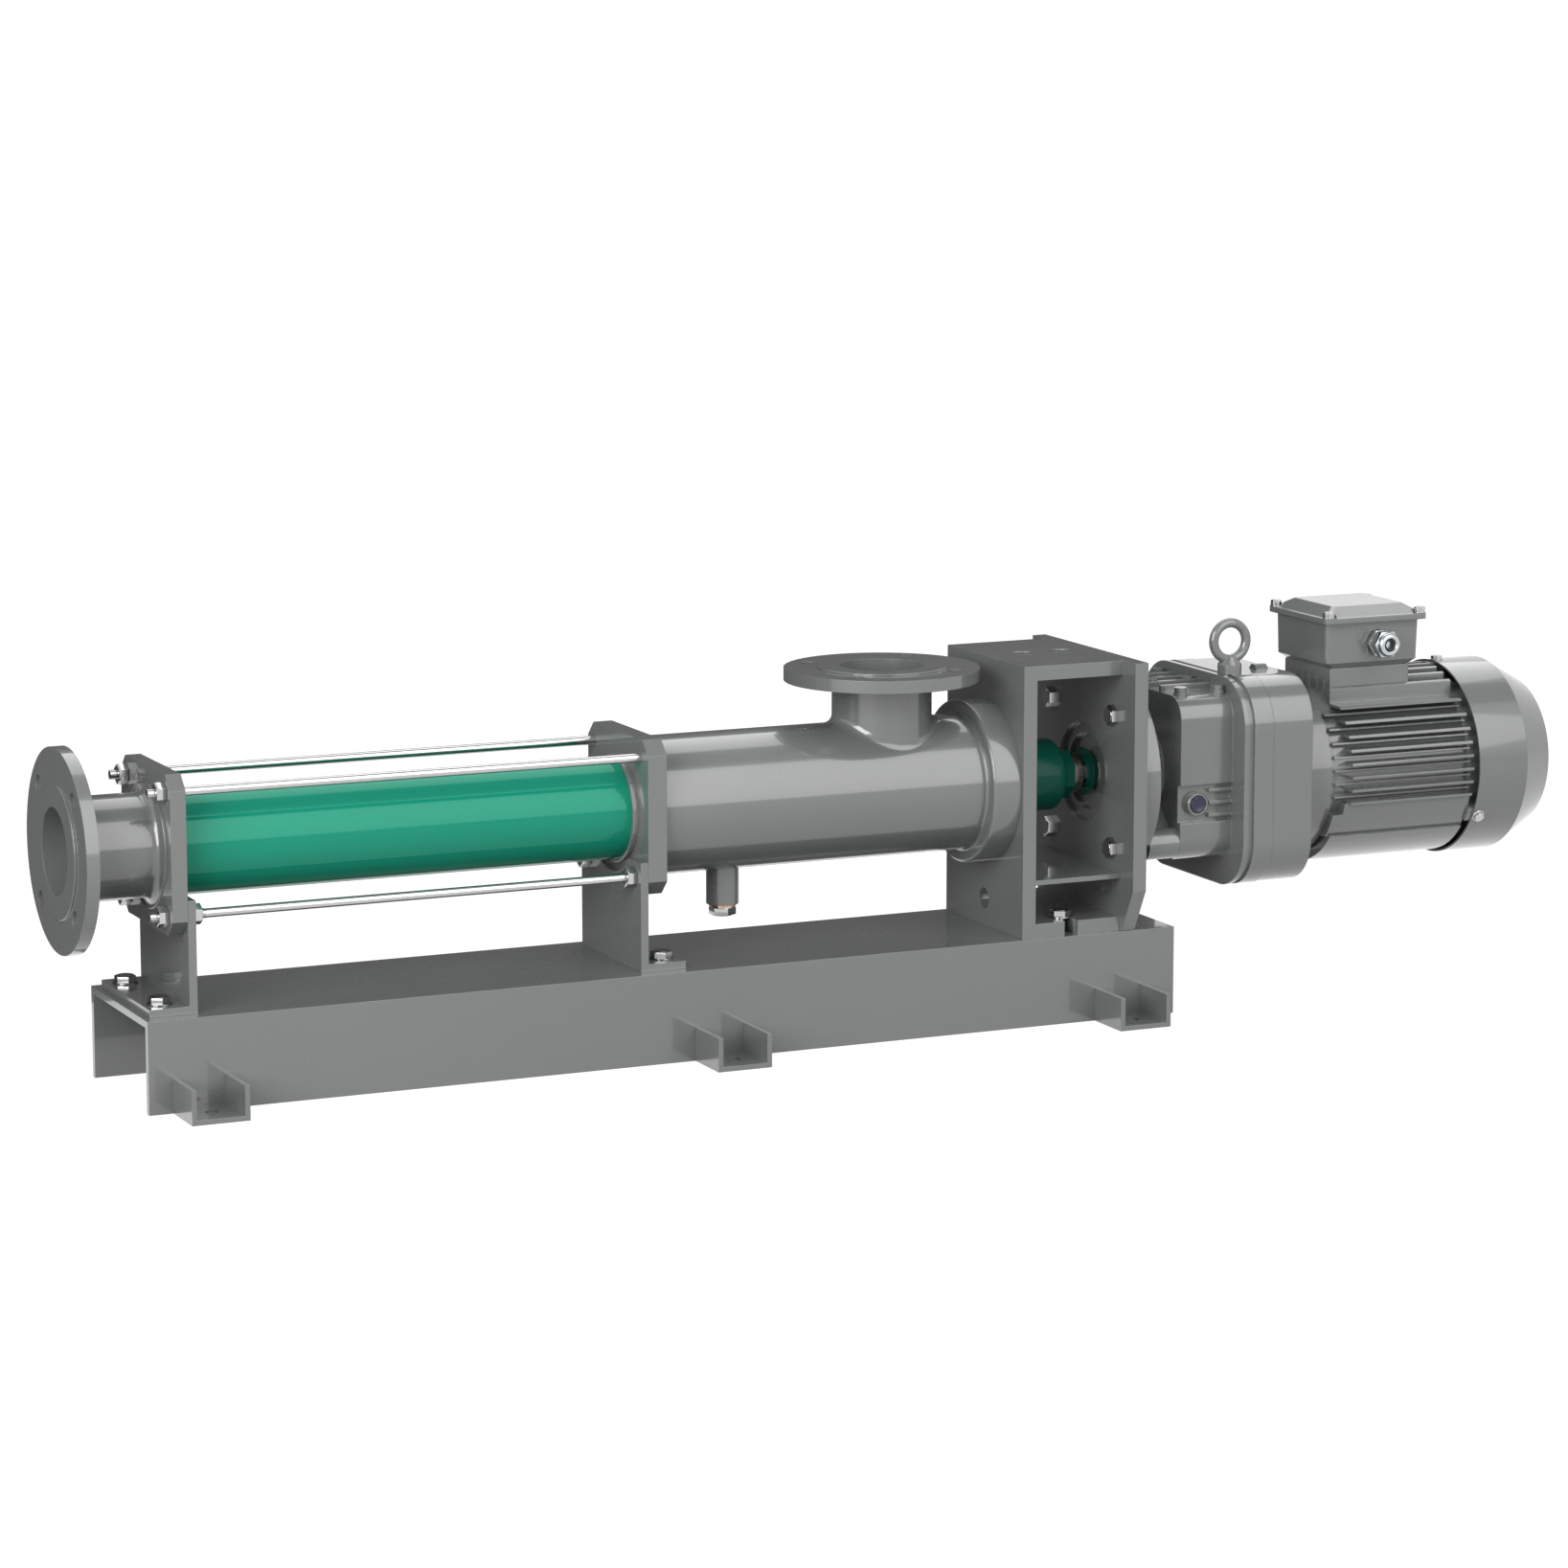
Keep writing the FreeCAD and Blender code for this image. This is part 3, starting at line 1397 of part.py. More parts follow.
def terminal_neck():
    x_neck, y_neck = neck_ranges()
    return block(x_neck, y_neck, (z_motor + frame_bore / 2, z_box))


def gland_place():
    x_box, y_box = box_ranges()
    return x_box[0] + gland_offset, y_box[0], z_box + gland_rise


def terminal_box():
    # The walls lean out a little towards the lid, and the foot slopes in to the neck.
    x_box, y_box = box_ranges()
    x_neck, y_neck = neck_ranges()
    x_low = inset_range(x_box, box_draft)
    y_low = inset_range(y_box, box_draft)
    z_low = z_box + box_foot_height
    rim = rounded_outline(x_box, y_box, z_lid, box_round)
    waist = rounded_outline(x_low, y_low, z_low, box_round)
    foot = rounded_outline(x_neck, y_neck, z_box, box_round)
    walls = Part.makeLoft([waist, rim], True, True)
    base = Part.makeLoft([foot, waist], True, True)
    inset = box_wall + box_draft
    inner = block(inset_range(x_box, inset), inset_range(y_box, inset), (z_low, z_lid))
    x, y, z = gland_place()
    cutters = [inner, bar_y((y, y + inset), gland_thread / 2, x, z)]
    half_hex = gland_hex / 2
    facing = block((x - half_hex, x + half_hex), (y, y + inset), (z - half_hex, z + half_hex))
    return union([walls, base, facing]).cut(cutters)


def lid_ranges():
    x_box, y_box = box_ranges()
    return inset_range(x_box, -lid_overhang_x), inset_range(y_box, -lid_overhang_y)


def lid_corners():
    x_lid, y_lid = lid_ranges()
    x_pair = inset_range(x_lid, lid_screw_inset)
    y_pair = inset_range(y_lid, lid_screw_inset)
    return [(x, y) for x in x_pair for y in y_pair]


def terminal_lid():
    # A flange with a raised middle whose sides slope in, cut away round the corner screws.
    x_lid, y_lid = lid_ranges()
    z_raise = z_lid + lid_flange_thickness
    z_top = z_raise + lid_rise
    flange = Part.Face(rounded_outline(x_lid, y_lid, z_lid, lid_round))
    flange = flange.extrude(vector(0, 0, lid_flange_thickness))
    outlines = [(lid_foot_inset, z_raise), (lid_top_inset, z_top)]
    wires = [rounded_outline(inset_range(x_lid, inset), inset_range(y_lid, inset), z, box_round)
             for inset, z in outlines]
    raised = Part.makeLoft(wires, True, True)
    raised = raised.cut([bar_z((z_raise, z_top), lid_screw_clearance, x, y) for x, y in lid_corners()])
    return union([flange, raised])


def lid_screws():
    screws = []
    z_seat = z_lid + lid_flange_thickness
    for x, y in lid_corners():
        screws.append(hexagon(vector(x, y, z_seat), lid_screw_head, vector(0, 0, lid_screw_head_height)))
    return group(screws)


def terminal_block():
    # The block stands on the box floor and carries six studs.
    x_box, y_box = box_ranges()
    x_middle = sum(x_box) / 2
    x_block = (x_middle - block_length / 2, x_middle + block_length / 2)
    z_floor = z_box + box_foot_height
    z_posts = (z_floor + block_height, z_floor + block_height + block_post_height)
    base = block(x_block, (-block_width / 2, block_width / 2), (z_floor, z_posts[0]))
    posts = []
    for post in range(6):
        x = x_middle + (post % 3 - 1) * block_post_spacing_x
        y = (post // 3 - 0.5) * block_post_spacing_y
        posts.append(bar_z(z_posts, block_post_diameter / 2, x, y))
    return union([base] + posts)


def cable_gland():
    x, y, z = gland_place()
    y_collar = y - gland_hex_length - gland_collar_length
    y_inner = y + 2 * box_wall
    hex_base = hexagon(vector(x, y - gland_hex_length, z), gland_hex, vector(0, gland_hex_length, 0))
    collar = bar_y((y_collar, y - gland_hex_length), gland_thread / 2, x, z)
    stub = bar_y((y, y_inner), gland_thread / 2, x, z)
    return union([hex_base, collar, stub]).cut(bar_y((y_collar, y_inner), gland_bore / 2, x, z))


def gland_cap():
    x, y, z = gland_place()
    y_back = y - gland_hex_length - gland_collar_length
    y_dome = y_back - gland_cap_length
    y_front = y_dome - gland_dome_length
    cap = hexagon(vector(x, y_dome, z), gland_hex, vector(0, gland_cap_length, 0))
    dome = Part.makeCone(gland_hex / 2, gland_hex / 2 - gland_dome_taper, gland_dome_length,
                         vector(x, y_dome, z), vector(0, -1, 0))
    return union([cap, dome]).cut(bar_y((y_front, y_back), gland_bore / 2, x, z))


def stator_core():
    start = x_frame + (frame_length - core_length) / 2
    inner = rotor_core_diameter / 2 + air_gap
    return ring_x((start, start + core_length), frame_bore / 2, inner, 0, z_motor)


def windings():
    start = x_frame + (frame_length - core_length) / 2
    outer = winding_outer_diameter / 2
    inner = winding_inner_diameter / 2
    left = ring_x((start - winding_length, start), outer, inner, 0, z_motor)
    right = ring_x((start + core_length, start + core_length + winding_length), outer, inner, 0, z_motor)
    return group([left, right])


def motor_shaft():
    x_thick = motor_bearing_starts()[0]
    x_pinion = (x_lay_wheel - pinion_overhang, x_lay_wheel + lay_wheel_width + pinion_overhang)
    pinion = gear(x_pinion, motor_pinion_teeth, pinion_shaft_diameter / 4, z_motor, False)
    thin = bar_x((x_pinion[1], x_thick), pinion_shaft_diameter / 2, 0, z_motor)
    thick = bar_x((x_thick, fan_start() + fan_width), motor_shaft_diameter / 2, 0, z_motor)
    return union([pinion, thin, thick])


def rotor_core():
    start = x_frame + (frame_length - core_length) / 2
    return ring_x((start, start + core_length), rotor_core_diameter / 2, motor_shaft_diameter / 2, 0, z_motor)


def rear_end_shield():
    x_range = (x_end_shield, x_end_shield + end_shield_thickness)
    disc = bar_x(x_range, end_shield_diameter / 2, 0, z_motor)
    lugs = []
    reach = fan_cover_diameter / 2 - fan_cover_wall
    limit = bar_x(x_range, reach, 0, z_motor)
    half_lug = end_shield_lug_width / 2
    for angle in cover_screw_angles():
        lug = block(x_range, (0, fan_cover_diameter / 2), (z_motor - half_lug, z_motor + half_lug))
        lug.rotate(vector(0, 0, z_motor), vector(1, 0, 0), angle)
        lugs.append(lug.common(limit))
    shape = union([disc] + lugs)
    cutters = [bar_x(x_range, motor_shaft_diameter / 2 + end_shield_shaft_gap, 0, z_motor)]
    x_bearing = (x_end_shield, x_end_shield + motor_bearing_width)
    cutters.append(bar_x(x_bearing, motor_bearing_diameter / 2, 0, z_motor))
    for angle in cover_screw_angles():
        cutters.append(radial_bar(screw_tip(), fan_cover_diameter / 2, cover_screw_diameter / 2, angle))
    return shape.cut(cutters)


def cover_screw_angles():
    return [90.0, 210.0, 330.0]


def x_cover_screw():
    return x_fan_cover + cover_screw_setback


def screw_tip():
    return fan_cover_diameter / 2 - cover_screw_length


def radial_bar(start, end, radius, angle):
    bar = Part.makeCylinder(radius, end - start, vector(x_cover_screw(), start, z_motor), vector(0, 1, 0))
    bar.rotate(vector(0, 0, z_motor), vector(1, 0, 0), angle)
    return bar


def fan_cover_screws():
    screws = []
    outer = fan_cover_diameter / 2
    for angle in cover_screw_angles():
        shank = radial_bar(screw_tip(), outer, cover_screw_diameter / 2, angle)
        head = hexagon(vector(x_cover_screw(), outer, z_motor), cover_screw_head,
                       vector(0, cover_screw_head_height, 0))
        head.rotate(vector(0, 0, z_motor), vector(1, 0, 0), angle)
        screws.append(union([shank, head]))
    return group(screws)


def fan_start():
    return x_end_shield + end_shield_thickness + fan_gap


def cooling_fan():
    start = fan_start()
    hub = bar_x((start, start + fan_width), fan_hub_diameter / 2, 0, z_motor)
    plate = bar_x((start, start + fan_plate_thickness), fan_diameter / 2, 0, z_motor)
    blades = []
    for blade in range(fan_blades):
        piece = block((start, start + fan_width), (-fan_blade_thickness / 2, fan_blade_thickness / 2),
                      (z_motor, z_motor + fan_diameter / 2))
        piece.rotate(vector(start, 0, z_motor), vector(1, 0, 0), 360.0 * blade / fan_blades)
        blades.append(piece)
    shape = union([hub, plate] + blades)
    return shape.cut(bar_x((start, start + fan_width), motor_shaft_diameter / 2, 0, z_motor))


def fan_cover():
    outer = fan_cover_diameter / 2
    end = fan_cover_end_diameter / 2
    wall = fan_cover_wall
    skin = union([bar_x((x_fan_cover, x_cover_crease), outer, 0, z_motor),
                  cone_x((x_cover_crease, overall_length), outer, end, z_motor)])
    hollow = union([bar_x((x_fan_cover, x_cover_crease), outer - wall, 0, z_motor),
                    cone_x((x_cover_crease, overall_length - wall), outer - wall, end - wall, z_motor)])
    shape = skin.cut(hollow)
    cutters = grille_cutters()
    for angle in cover_screw_angles():
        cutters.append(radial_bar(screw_tip(), outer, cover_screw_diameter / 2, angle))
    return shape.cut(cutters)


def grille_cutters():
    x_range = (overall_length - 2 * fan_cover_wall, overall_length)
    reach = fan_cover_end_diameter / 2
    half = grille_bridge / 2
    bridges = [block(x_range, (-reach, reach), (z_motor - half, z_motor + half)),
               block(x_range, (-half, half), (z_motor - reach, z_motor + reach))]
    cutters = []
    for ring in range(grille_rings):
        inner = grille_step * (ring + 1)
        cutters.append(ring_x(x_range, inner + grille_slot, inner, 0, z_motor).cut(bridges))
    return cutters


save("base_channel", base_channel())
save("anchor_feet", anchor_feet())
save("discharge_bracket", bracket(x_stator, -1))
save("suction_bracket", bracket(x_suction_plate, 1))
save("bracket_bolts", bracket_bolts())
save("bracket_nuts", bracket_nuts())
save("discharge_branch", discharge_branch())
save("stator_tube", stator_tube())
save("stator_lining", stator_lining())
save("tie_rods", tie_rods())
save("tie_rod_nuts", tie_rod_nuts())
save("suction_housing", suction_housing())
save("drain_plug", drain_plug())
save("drain_washer", drain_washer())
save("lantern_frame", lantern_frame())
save("drip_tray", drip_tray())
save("lantern_bolts", lantern_bolts())
save("lantern_nuts", lantern_nuts())
save("housing_screws", housing_screws())
save("seal_housing", seal_housing())
save("seal_collar", seal_collar())
save("seal_seat", seal_seat())
save("rotating_seal_ring", rotating_seal_ring())
save("seal_spring", seal_spring())
save("drive_shaft", drive_shaft())
save("drive_joint_pin", joint_pin(drive_pin_x(), z_shaft))
save("slinger_ring", slinger_ring())
save("coupling_rod", coupling_rod())
save("rotor_joint_pin", joint_pin(rotor_pin_x(), z_shaft + eccentricity))
save("rotor_thrust_ball", rotor_thrust_ball())
save("pump_rotor", pump_rotor())
save("output_quill", output_quill())
save("output_gear", output_gear())
save("output_bearings", output_bearings())
save("output_seal", output_seal())
save("layshaft", layshaft())
save("lay_wheel", lay_wheel())
save("lay_bearings", lay_bearings())
save("gear_case", gear_case())
save("gear_cover", gear_cover())
save("case_screws", case_screws())
save("oil_plug", oil_plug())
save("eye_bolt", eye_bolt())
save("gear_flange_bolts", gear_flange_bolts())
save("motor_adaptor", motor_adaptor())
save("motor_bearings", motor_bearings())
save("pinion_seal", pinion_seal())
save("motor_frame", motor_frame())
save("stator_core", stator_core())
save("windings", windings())
save("motor_shaft", motor_shaft())
save("rotor_core", rotor_core())
save("rear_end_shield", rear_end_shield())
save("cooling_fan", cooling_fan())
save("fan_cover", fan_cover())
save("fan_cover_screws", fan_cover_screws())
save("terminal_box", terminal_box())
save("terminal_lid", terminal_lid())
save("terminal_fittings", group([lid_screws(), terminal_block()]))
save("cable_gland", group([cable_gland(), gland_cap()]))
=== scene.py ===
import json
import math

import bmesh
import bpy
from mathutils import Matrix, Vector


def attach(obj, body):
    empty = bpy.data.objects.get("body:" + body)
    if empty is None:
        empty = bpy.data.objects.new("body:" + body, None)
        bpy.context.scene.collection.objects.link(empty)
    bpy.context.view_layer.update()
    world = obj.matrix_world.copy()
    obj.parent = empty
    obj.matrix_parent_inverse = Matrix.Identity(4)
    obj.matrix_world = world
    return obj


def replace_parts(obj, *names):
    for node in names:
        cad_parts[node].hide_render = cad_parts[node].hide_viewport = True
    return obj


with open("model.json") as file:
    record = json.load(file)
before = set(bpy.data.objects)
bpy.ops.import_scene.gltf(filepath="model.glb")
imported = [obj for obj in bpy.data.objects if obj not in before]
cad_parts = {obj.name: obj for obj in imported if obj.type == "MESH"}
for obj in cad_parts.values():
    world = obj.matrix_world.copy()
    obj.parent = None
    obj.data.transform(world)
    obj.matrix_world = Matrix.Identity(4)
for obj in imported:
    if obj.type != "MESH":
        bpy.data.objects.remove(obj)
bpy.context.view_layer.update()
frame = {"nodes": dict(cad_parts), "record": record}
nodes = frame["nodes"]
print("frame loaded:", len(nodes), "nodes")


# camera, floor and lamps

cameraValues = {"lens": 116.49, "sensor": 36, "farthest": 60, "place": (-2.1462, -4.6001, 1.1247),
                "tilt": 80.236, "turn": -24.507}
floorValues = {"size": 16.0, "paint": (0.22, 0.22, 0.22, 1), "rough": 0.9, "glow": 0.85}
worldValues = {"ambient": (0.62, 0.63, 0.64, 1), "background": (1.0, 1.0, 1.0, 1)}
lampValues = {
    "frontBox": {"place": (1.6, -3.39, 2.57), "aim": (1.6, 0.0, 0.2), "size": (3.6, 4.8), "power": 130},
    "leftBox": {"place": (-3.0, -1.9, 1.5), "aim": (0.0, 0.0, 0.2), "size": (2.2, 2.2), "power": 125},
    "rearBox": {"place": (1.4, 2.0, 3.17), "aim": (1.4, 0.0, 0.3), "size": (3.4, 3.2), "power": 46},
    "rightBox": {"place": (3.4, -1.4, 1.2), "aim": (0.4, 0.0, 0.2), "size": (1.0, 1.8), "power": 2},
}
# dark cards behind and over the pump, seen in reflections alone, so that its tops stay dark
cardValues = {
    "rearCard": {"low": (-3.0, 0.42, 0.0), "high": (0.61, 0.42, 0.66), "tone": 0.10},
    "lidCard": {"low": (0.40, 0.20, 0.43), "high": (0.62, 0.20, 0.62), "tone": 0.08},
    "roofCard": {"low": (-2.2, -1.17, 3.2), "high": (3.4, 0.41, 3.2), "tone": 0.45},
}
cardThickness = 0.001


def makeCamera(values):
    camera = bpy.data.objects.new("camera", bpy.data.cameras.new("camera"))
    camera.data.lens = values["lens"]
    camera.data.sensor_width = values["sensor"]
    camera.data.clip_end = values["farthest"]
    camera.location = values["place"]
    camera.rotation_euler = (math.radians(values["tilt"]), 0, math.radians(values["turn"]))
    bpy.context.scene.collection.objects.link(camera)
    bpy.context.scene.camera = camera


def seenRays(tree):
    # camera, glossy and transmission rays see the white background
    path = tree.nodes.new("ShaderNodeLightPath")
    first = tree.nodes.new("ShaderNodeMath")
    first.operation = "MAXIMUM"
    second = tree.nodes.new("ShaderNodeMath")
    second.operation = "MAXIMUM"
    tree.links.new(path.outputs["Is Camera Ray"], first.inputs[0])
    tree.links.new(path.outputs["Is Glossy Ray"], first.inputs[1])
    tree.links.new(first.outputs[0], second.inputs[0])
    tree.links.new(path.outputs["Is Transmission Ray"], second.inputs[1])
    return second.outputs[0]


def makeWorld(values):
    world = bpy.data.worlds.new("studio")
    world.use_nodes = True
    tree = world.node_tree
    tree.nodes.clear()
    ambient = tree.nodes.new("ShaderNodeBackground")
    ambient.inputs["Color"].default_value = values["ambient"]
    white = tree.nodes.new("ShaderNodeBackground")
    white.inputs["Color"].default_value = values["background"]
    mix = tree.nodes.new("ShaderNodeMixShader")
    out = tree.nodes.new("ShaderNodeOutputWorld")
    tree.links.new(seenRays(tree), mix.inputs[0])
    tree.links.new(ambient.outputs[0], mix.inputs[1])
    tree.links.new(white.outputs[0], mix.inputs[2])
    tree.links.new(mix.outputs[0], out.inputs["Surface"])
    bpy.context.scene.world = world


def makeFloor(values):
    form = bmesh.new()
    bmesh.ops.create_grid(form, x_segments=1, y_segments=1, size=values["size"] / 2)
    mesh = bpy.data.meshes.new("floor")
    form.to_mesh(mesh)
    form.free()
    floor = bpy.data.objects.new("floor", mesh)
    bpy.context.scene.collection.objects.link(floor)
    material = bpy.data.materials.new("floorWhite")
    material.use_nodes = True
    tree = material.node_tree
    shader = tree.nodes["Principled BSDF"]
    shader.inputs["Base Color"].default_value = values["paint"]
    shader.inputs["Roughness"].default_value = values["rough"]
    shader.inputs["Specular IOR Level"].default_value = 0.0
    glow = tree.nodes.new("ShaderNodeMath")
    glow.operation = "MULTIPLY"
    glow.inputs[1].default_value = values["glow"]
    tree.links.new(seenRays(tree), glow.inputs[0])
    tree.links.new(glow.outputs[0], shader.inputs["Emission Strength"])
    shader.inputs["Emission Color"].default_value = (1, 1, 1, 1)
    mesh.materials.append(material)


def makeCards(values):
    for name, value in values.items():
        low, high = Vector(value["low"]), Vector(value["high"])
        form = bmesh.new()
        bmesh.ops.create_grid(form, x_segments=1, y_segments=1, size=0.5)
        if low.y == high.y:  # an upright card
            bmesh.ops.rotate(form, verts=form.verts, matrix=Matrix.Rotation(math.radians(90), 3, "X"))
        span = [max(side, cardThickness) for side in high - low]  # no side is scaled to nothing
        bmesh.ops.scale(form, verts=form.verts, vec=span)
        bmesh.ops.translate(form, verts=form.verts, vec=(low + high) / 2)
        mesh = bpy.data.meshes.new(name)
        form.to_mesh(mesh)
        form.free()
        card = bpy.data.objects.new(name, mesh)
        bpy.context.scene.collection.objects.link(card)
        material = bpy.data.materials.new(name)
        material.use_nodes = True
        shader = material.node_tree.nodes["Principled BSDF"]
        shader.inputs["Base Color"].default_value = (0, 0, 0, 1)
        shader.inputs["Specular IOR Level"].default_value = 0.0
        shader.inputs["Emission Color"].default_value = (1, 1, 1, 1)
        shader.inputs["Emission Strength"].default_value = value["tone"]
        mesh.materials.append(material)
        card.visible_camera = False
        card.visible_diffuse = False
        card.visible_shadow = False
        card.visible_transmission = False


def makeLamps(values):
    for name, value in values.items():
        lamp = bpy.data.lights.new(name, "AREA")
        lamp.shape = "RECTANGLE"
        lamp.size, lamp.size_y = value["size"]
        lamp.energy = value["power"]
        holder = bpy.data.objects.new(name, lamp)
        place = Vector(value["place"])
        holder.location = place
        holder.rotation_euler = (Vector(value["aim"]) - place).to_track_quat("-Z", "Y").to_euler()
        holder.visible_camera = False
        bpy.context.scene.collection.objects.link(holder)


bpy.context.scene.view_settings.view_transform = "Standard"
makeCamera(cameraValues)
makeWorld(worldValues)
makeFloor(floorValues)
makeCards(cardValues)
makeLamps(lampValues)
print("camera, floor and lamps ready")


# shader node groups that several finishes share

def newGroup(name, inputs, outputs):
    group = bpy.data.node_groups.new(name, "ShaderNodeTree")
    for label, kind, value in inputs:
        socket = group.interface.new_socket(label, in_out="INPUT", socket_type=kind)
        if value is not None:
            socket.default_value = value
    for label, kind in outputs:
        group.interface.new_socket(label, in_out="OUTPUT", socket_type=kind)
    return group, group.nodes.new("NodeGroupInput"), group.nodes.new("NodeGroupOutput")


def addNode(tree, kind, **settings):
    node = tree.nodes.new(kind)
    for name, value in settings.items():
        setattr(node, name, value)
    return node


def feed(tree, value, socket):
    # an output is linked to the socket, and a plain value is set on it
    if isinstance(value, bpy.types.NodeSocket):
        tree.links.new(value, socket)
    else:
        socket.default_value = value


def addMath(tree, operation, first, second):
    node = addNode(tree, "ShaderNodeMath", operation=operation)
    feed(tree, first, node.inputs[0])
    feed(tree, second, node.inputs[1])
    return node.outputs[0]


def addNoise(tree, vector, scale, detail, roughness=0.55):
    node = addNode(tree, "ShaderNodeTexNoise")
    tree.links.new(vector, node.inputs["Vector"])
    feed(tree, scale, node.inputs["Scale"])
    node.inputs["Detail"].default_value = detail
    node.inputs["Roughness"].default_value = roughness
    return node.outputs["Fac"]


def addRange(tree, value, fromLow, fromHigh, toLow=0.0, toHigh=1.0):
    node = addNode(tree, "ShaderNodeMapRange", clamp=True)
    tree.links.new(value, node.inputs["Value"])
    limits = (("From Min", fromLow), ("From Max", fromHigh), ("To Min", toLow), ("To Max", toHigh))
    for label, limit in limits:
        feed(tree, limit, node.inputs[label])
    return node.outputs["Result"]


def addMix(tree, factor, first, second):
    # a Mix node set to colors takes its factor at 0 and the two colors at 6 and 7, and gives its color at 2
    node = addNode(tree, "ShaderNodeMix", data_type="RGBA", blend_type="MIX")
    for number, value in ((0, factor), (6, first), (7, second)):
        feed(tree, value, node.inputs[number])
    return node.outputs[2]


def makeToneGroup():
    # slow drifts and fine specks of tone over a surface
    group, start, end = newGroup("toneVariation", [
        ("Vector", "NodeSocketVector", None), ("Color", "NodeSocketColor", None),
        ("Drift Scale", "NodeSocketFloat", 5.0), ("Drift", "NodeSocketFloat", 0.08),
        ("Speck Scale", "NodeSocketFloat", 160.0), ("Speck", "NodeSocketFloat", 0.05),
    ], [("Color", "NodeSocketColor")])
    away = []
    for label, detail in (("Drift", 4.0), ("Speck", 2.0)):
        cloud = addNoise(group, start.outputs["Vector"], start.outputs[label + " Scale"], detail)
        centred = addMath(group, "SUBTRACT", cloud, 0.5)
        away.append(addMath(group, "MULTIPLY", centred, start.outputs[label]))
    doubled = addMath(group, "MULTIPLY", addMath(group, "ADD", away[0], away[1]), 2.0)
    gain = addMath(group, "ADD", doubled, 1.0)
    toned = addNode(group, "ShaderNodeHueSaturation")
    group.links.new(start.outputs["Color"], toned.inputs["Color"])
    group.links.new(gain, toned.inputs["Value"])
    group.links.new(toned.outputs["Color"], end.inputs["Color"])
    return group


def makeEdgeGroup():
    # how near an edge is, broken up so that it comes and goes; the finishes lighten the edge by it, partly as
    # paint wear and partly as a painted highlight; and the softened normal there
    group, start, end = newGroup("edgeWearAndHighlight", [
        ("Vector", "NodeSocketVector", None), ("Radius", "NodeSocketFloat", 0.0012),
        ("Amount", "NodeSocketFloat", 0.5), ("Break Scale", "NodeSocketFloat", 60.0),
    ], [("Edge", "NodeSocketFloat"), ("Normal", "NodeSocketVector")])
    soft = addNode(group, "ShaderNodeBevel", samples=6)
    group.links.new(start.outputs["Radius"], soft.inputs["Radius"])
    flat = addNode(group, "ShaderNodeNewGeometry")
    dot = addNode(group, "ShaderNodeVectorMath", operation="DOT_PRODUCT")
    group.links.new(soft.outputs["Normal"], dot.inputs[0])
    group.links.new(flat.outputs["Normal"], dot.inputs[1])
    near = addRange(group, dot.outputs["Value"], 0.995, 0.9)  # the normals part by 6 to 26 degrees
    cloud = addNoise(group, start.outputs["Vector"], start.outputs["Break Scale"], detail=4.0)
    broken = addRange(group, cloud, 0.42, 0.66)
    # the mask of the lighter edges: partly paint wear, partly a painted highlight
    wornAndLit = addMath(group, "MULTIPLY", addMath(group, "MULTIPLY", near, broken), start.outputs["Amount"])
    group.links.new(wornAndLit, end.inputs["Edge"])
    group.links.new(soft.outputs["Normal"], end.inputs["Normal"])
    return group


def makePeelGroup():
    # the shallow ripple of sprayed paint and the pits of a casting under it
    group, start, end = newGroup("sprayPeel", [
        ("Vector", "NodeSocketVector", None), ("Peel Scale", "NodeSocketFloat", 420.0),
        ("Peel", "NodeSocketFloat", 0.4), ("Pit Scale", "NodeSocketFloat", 900.0),
        ("Pit", "NodeSocketFloat", 0.2),
    ], [("Height", "NodeSocketFloat")])
    peel = addNoise(group, start.outputs["Vector"], start.outputs["Peel Scale"], detail=1.5)
    cells = addNode(group, "ShaderNodeTexVoronoi")
    group.links.new(start.outputs["Vector"], cells.inputs["Vector"])
    group.links.new(start.outputs["Pit Scale"], cells.inputs["Scale"])
    pits = addRange(group, cells.outputs["Distance"], 0.0, 0.6)
    height = addMath(group, "ADD", addMath(group, "MULTIPLY", peel, start.outputs["Peel"]),
                     addMath(group, "MULTIPLY", pits, start.outputs["Pit"]))
    group.links.new(height, end.inputs["Height"])
    return group


def makeSheenGroup():
    # smudges and rubbed patches, as a roughness between two limits
    group, start, end = newGroup("rubbedRoughness", [
        ("Vector", "NodeSocketVector", None), ("Scale", "NodeSocketFloat", 9.0),
        ("Low", "NodeSocketFloat", 0.2), ("High", "NodeSocketFloat", 0.4),
    ], [("Roughness", "NodeSocketFloat")])
    cloud = addNoise(group, start.outputs["Vector"], start.outputs["Scale"], detail=5.0, roughness=0.6)
    rough = addRange(group, cloud, 0.3, 0.7, start.outputs["Low"], start.outputs["High"])
    group.links.new(rough, end.inputs["Roughness"])
    return group


def makeToolGroup():
    # fine tool marks: noise stretched across the lay of the cut
    group, start, end = newGroup("toolMarks", [
        ("Vector", "NodeSocketVector", None), ("Lay", "NodeSocketVector", (1800.0, 30.0, 30.0)),
        ("Depth", "NodeSocketFloat", 0.5),
    ], [("Height", "NodeSocketFloat"), ("Mask", "NodeSocketFloat")])
    lay = addNode(group, "ShaderNodeVectorMath", operation="MULTIPLY")
    group.links.new(start.outputs["Vector"], lay.inputs[0])
    group.links.new(start.outputs["Lay"], lay.inputs[1])
    marks = addNoise(group, lay.outputs[0], scale=1.0, detail=2.0)
    group.links.new(addMath(group, "MULTIPLY", marks, start.outputs["Depth"]), end.inputs["Height"])
    group.links.new(addRange(group, marks, 0.35, 0.65), end.inputs["Mask"])
    return group


toneGroup = makeToneGroup()
edgeGroup = makeEdgeGroup()
peelGroup = makePeelGroup()
sheenGroup = makeSheenGroup()
toolGroup = makeToolGroup()
print("node groups ready")


# finishes

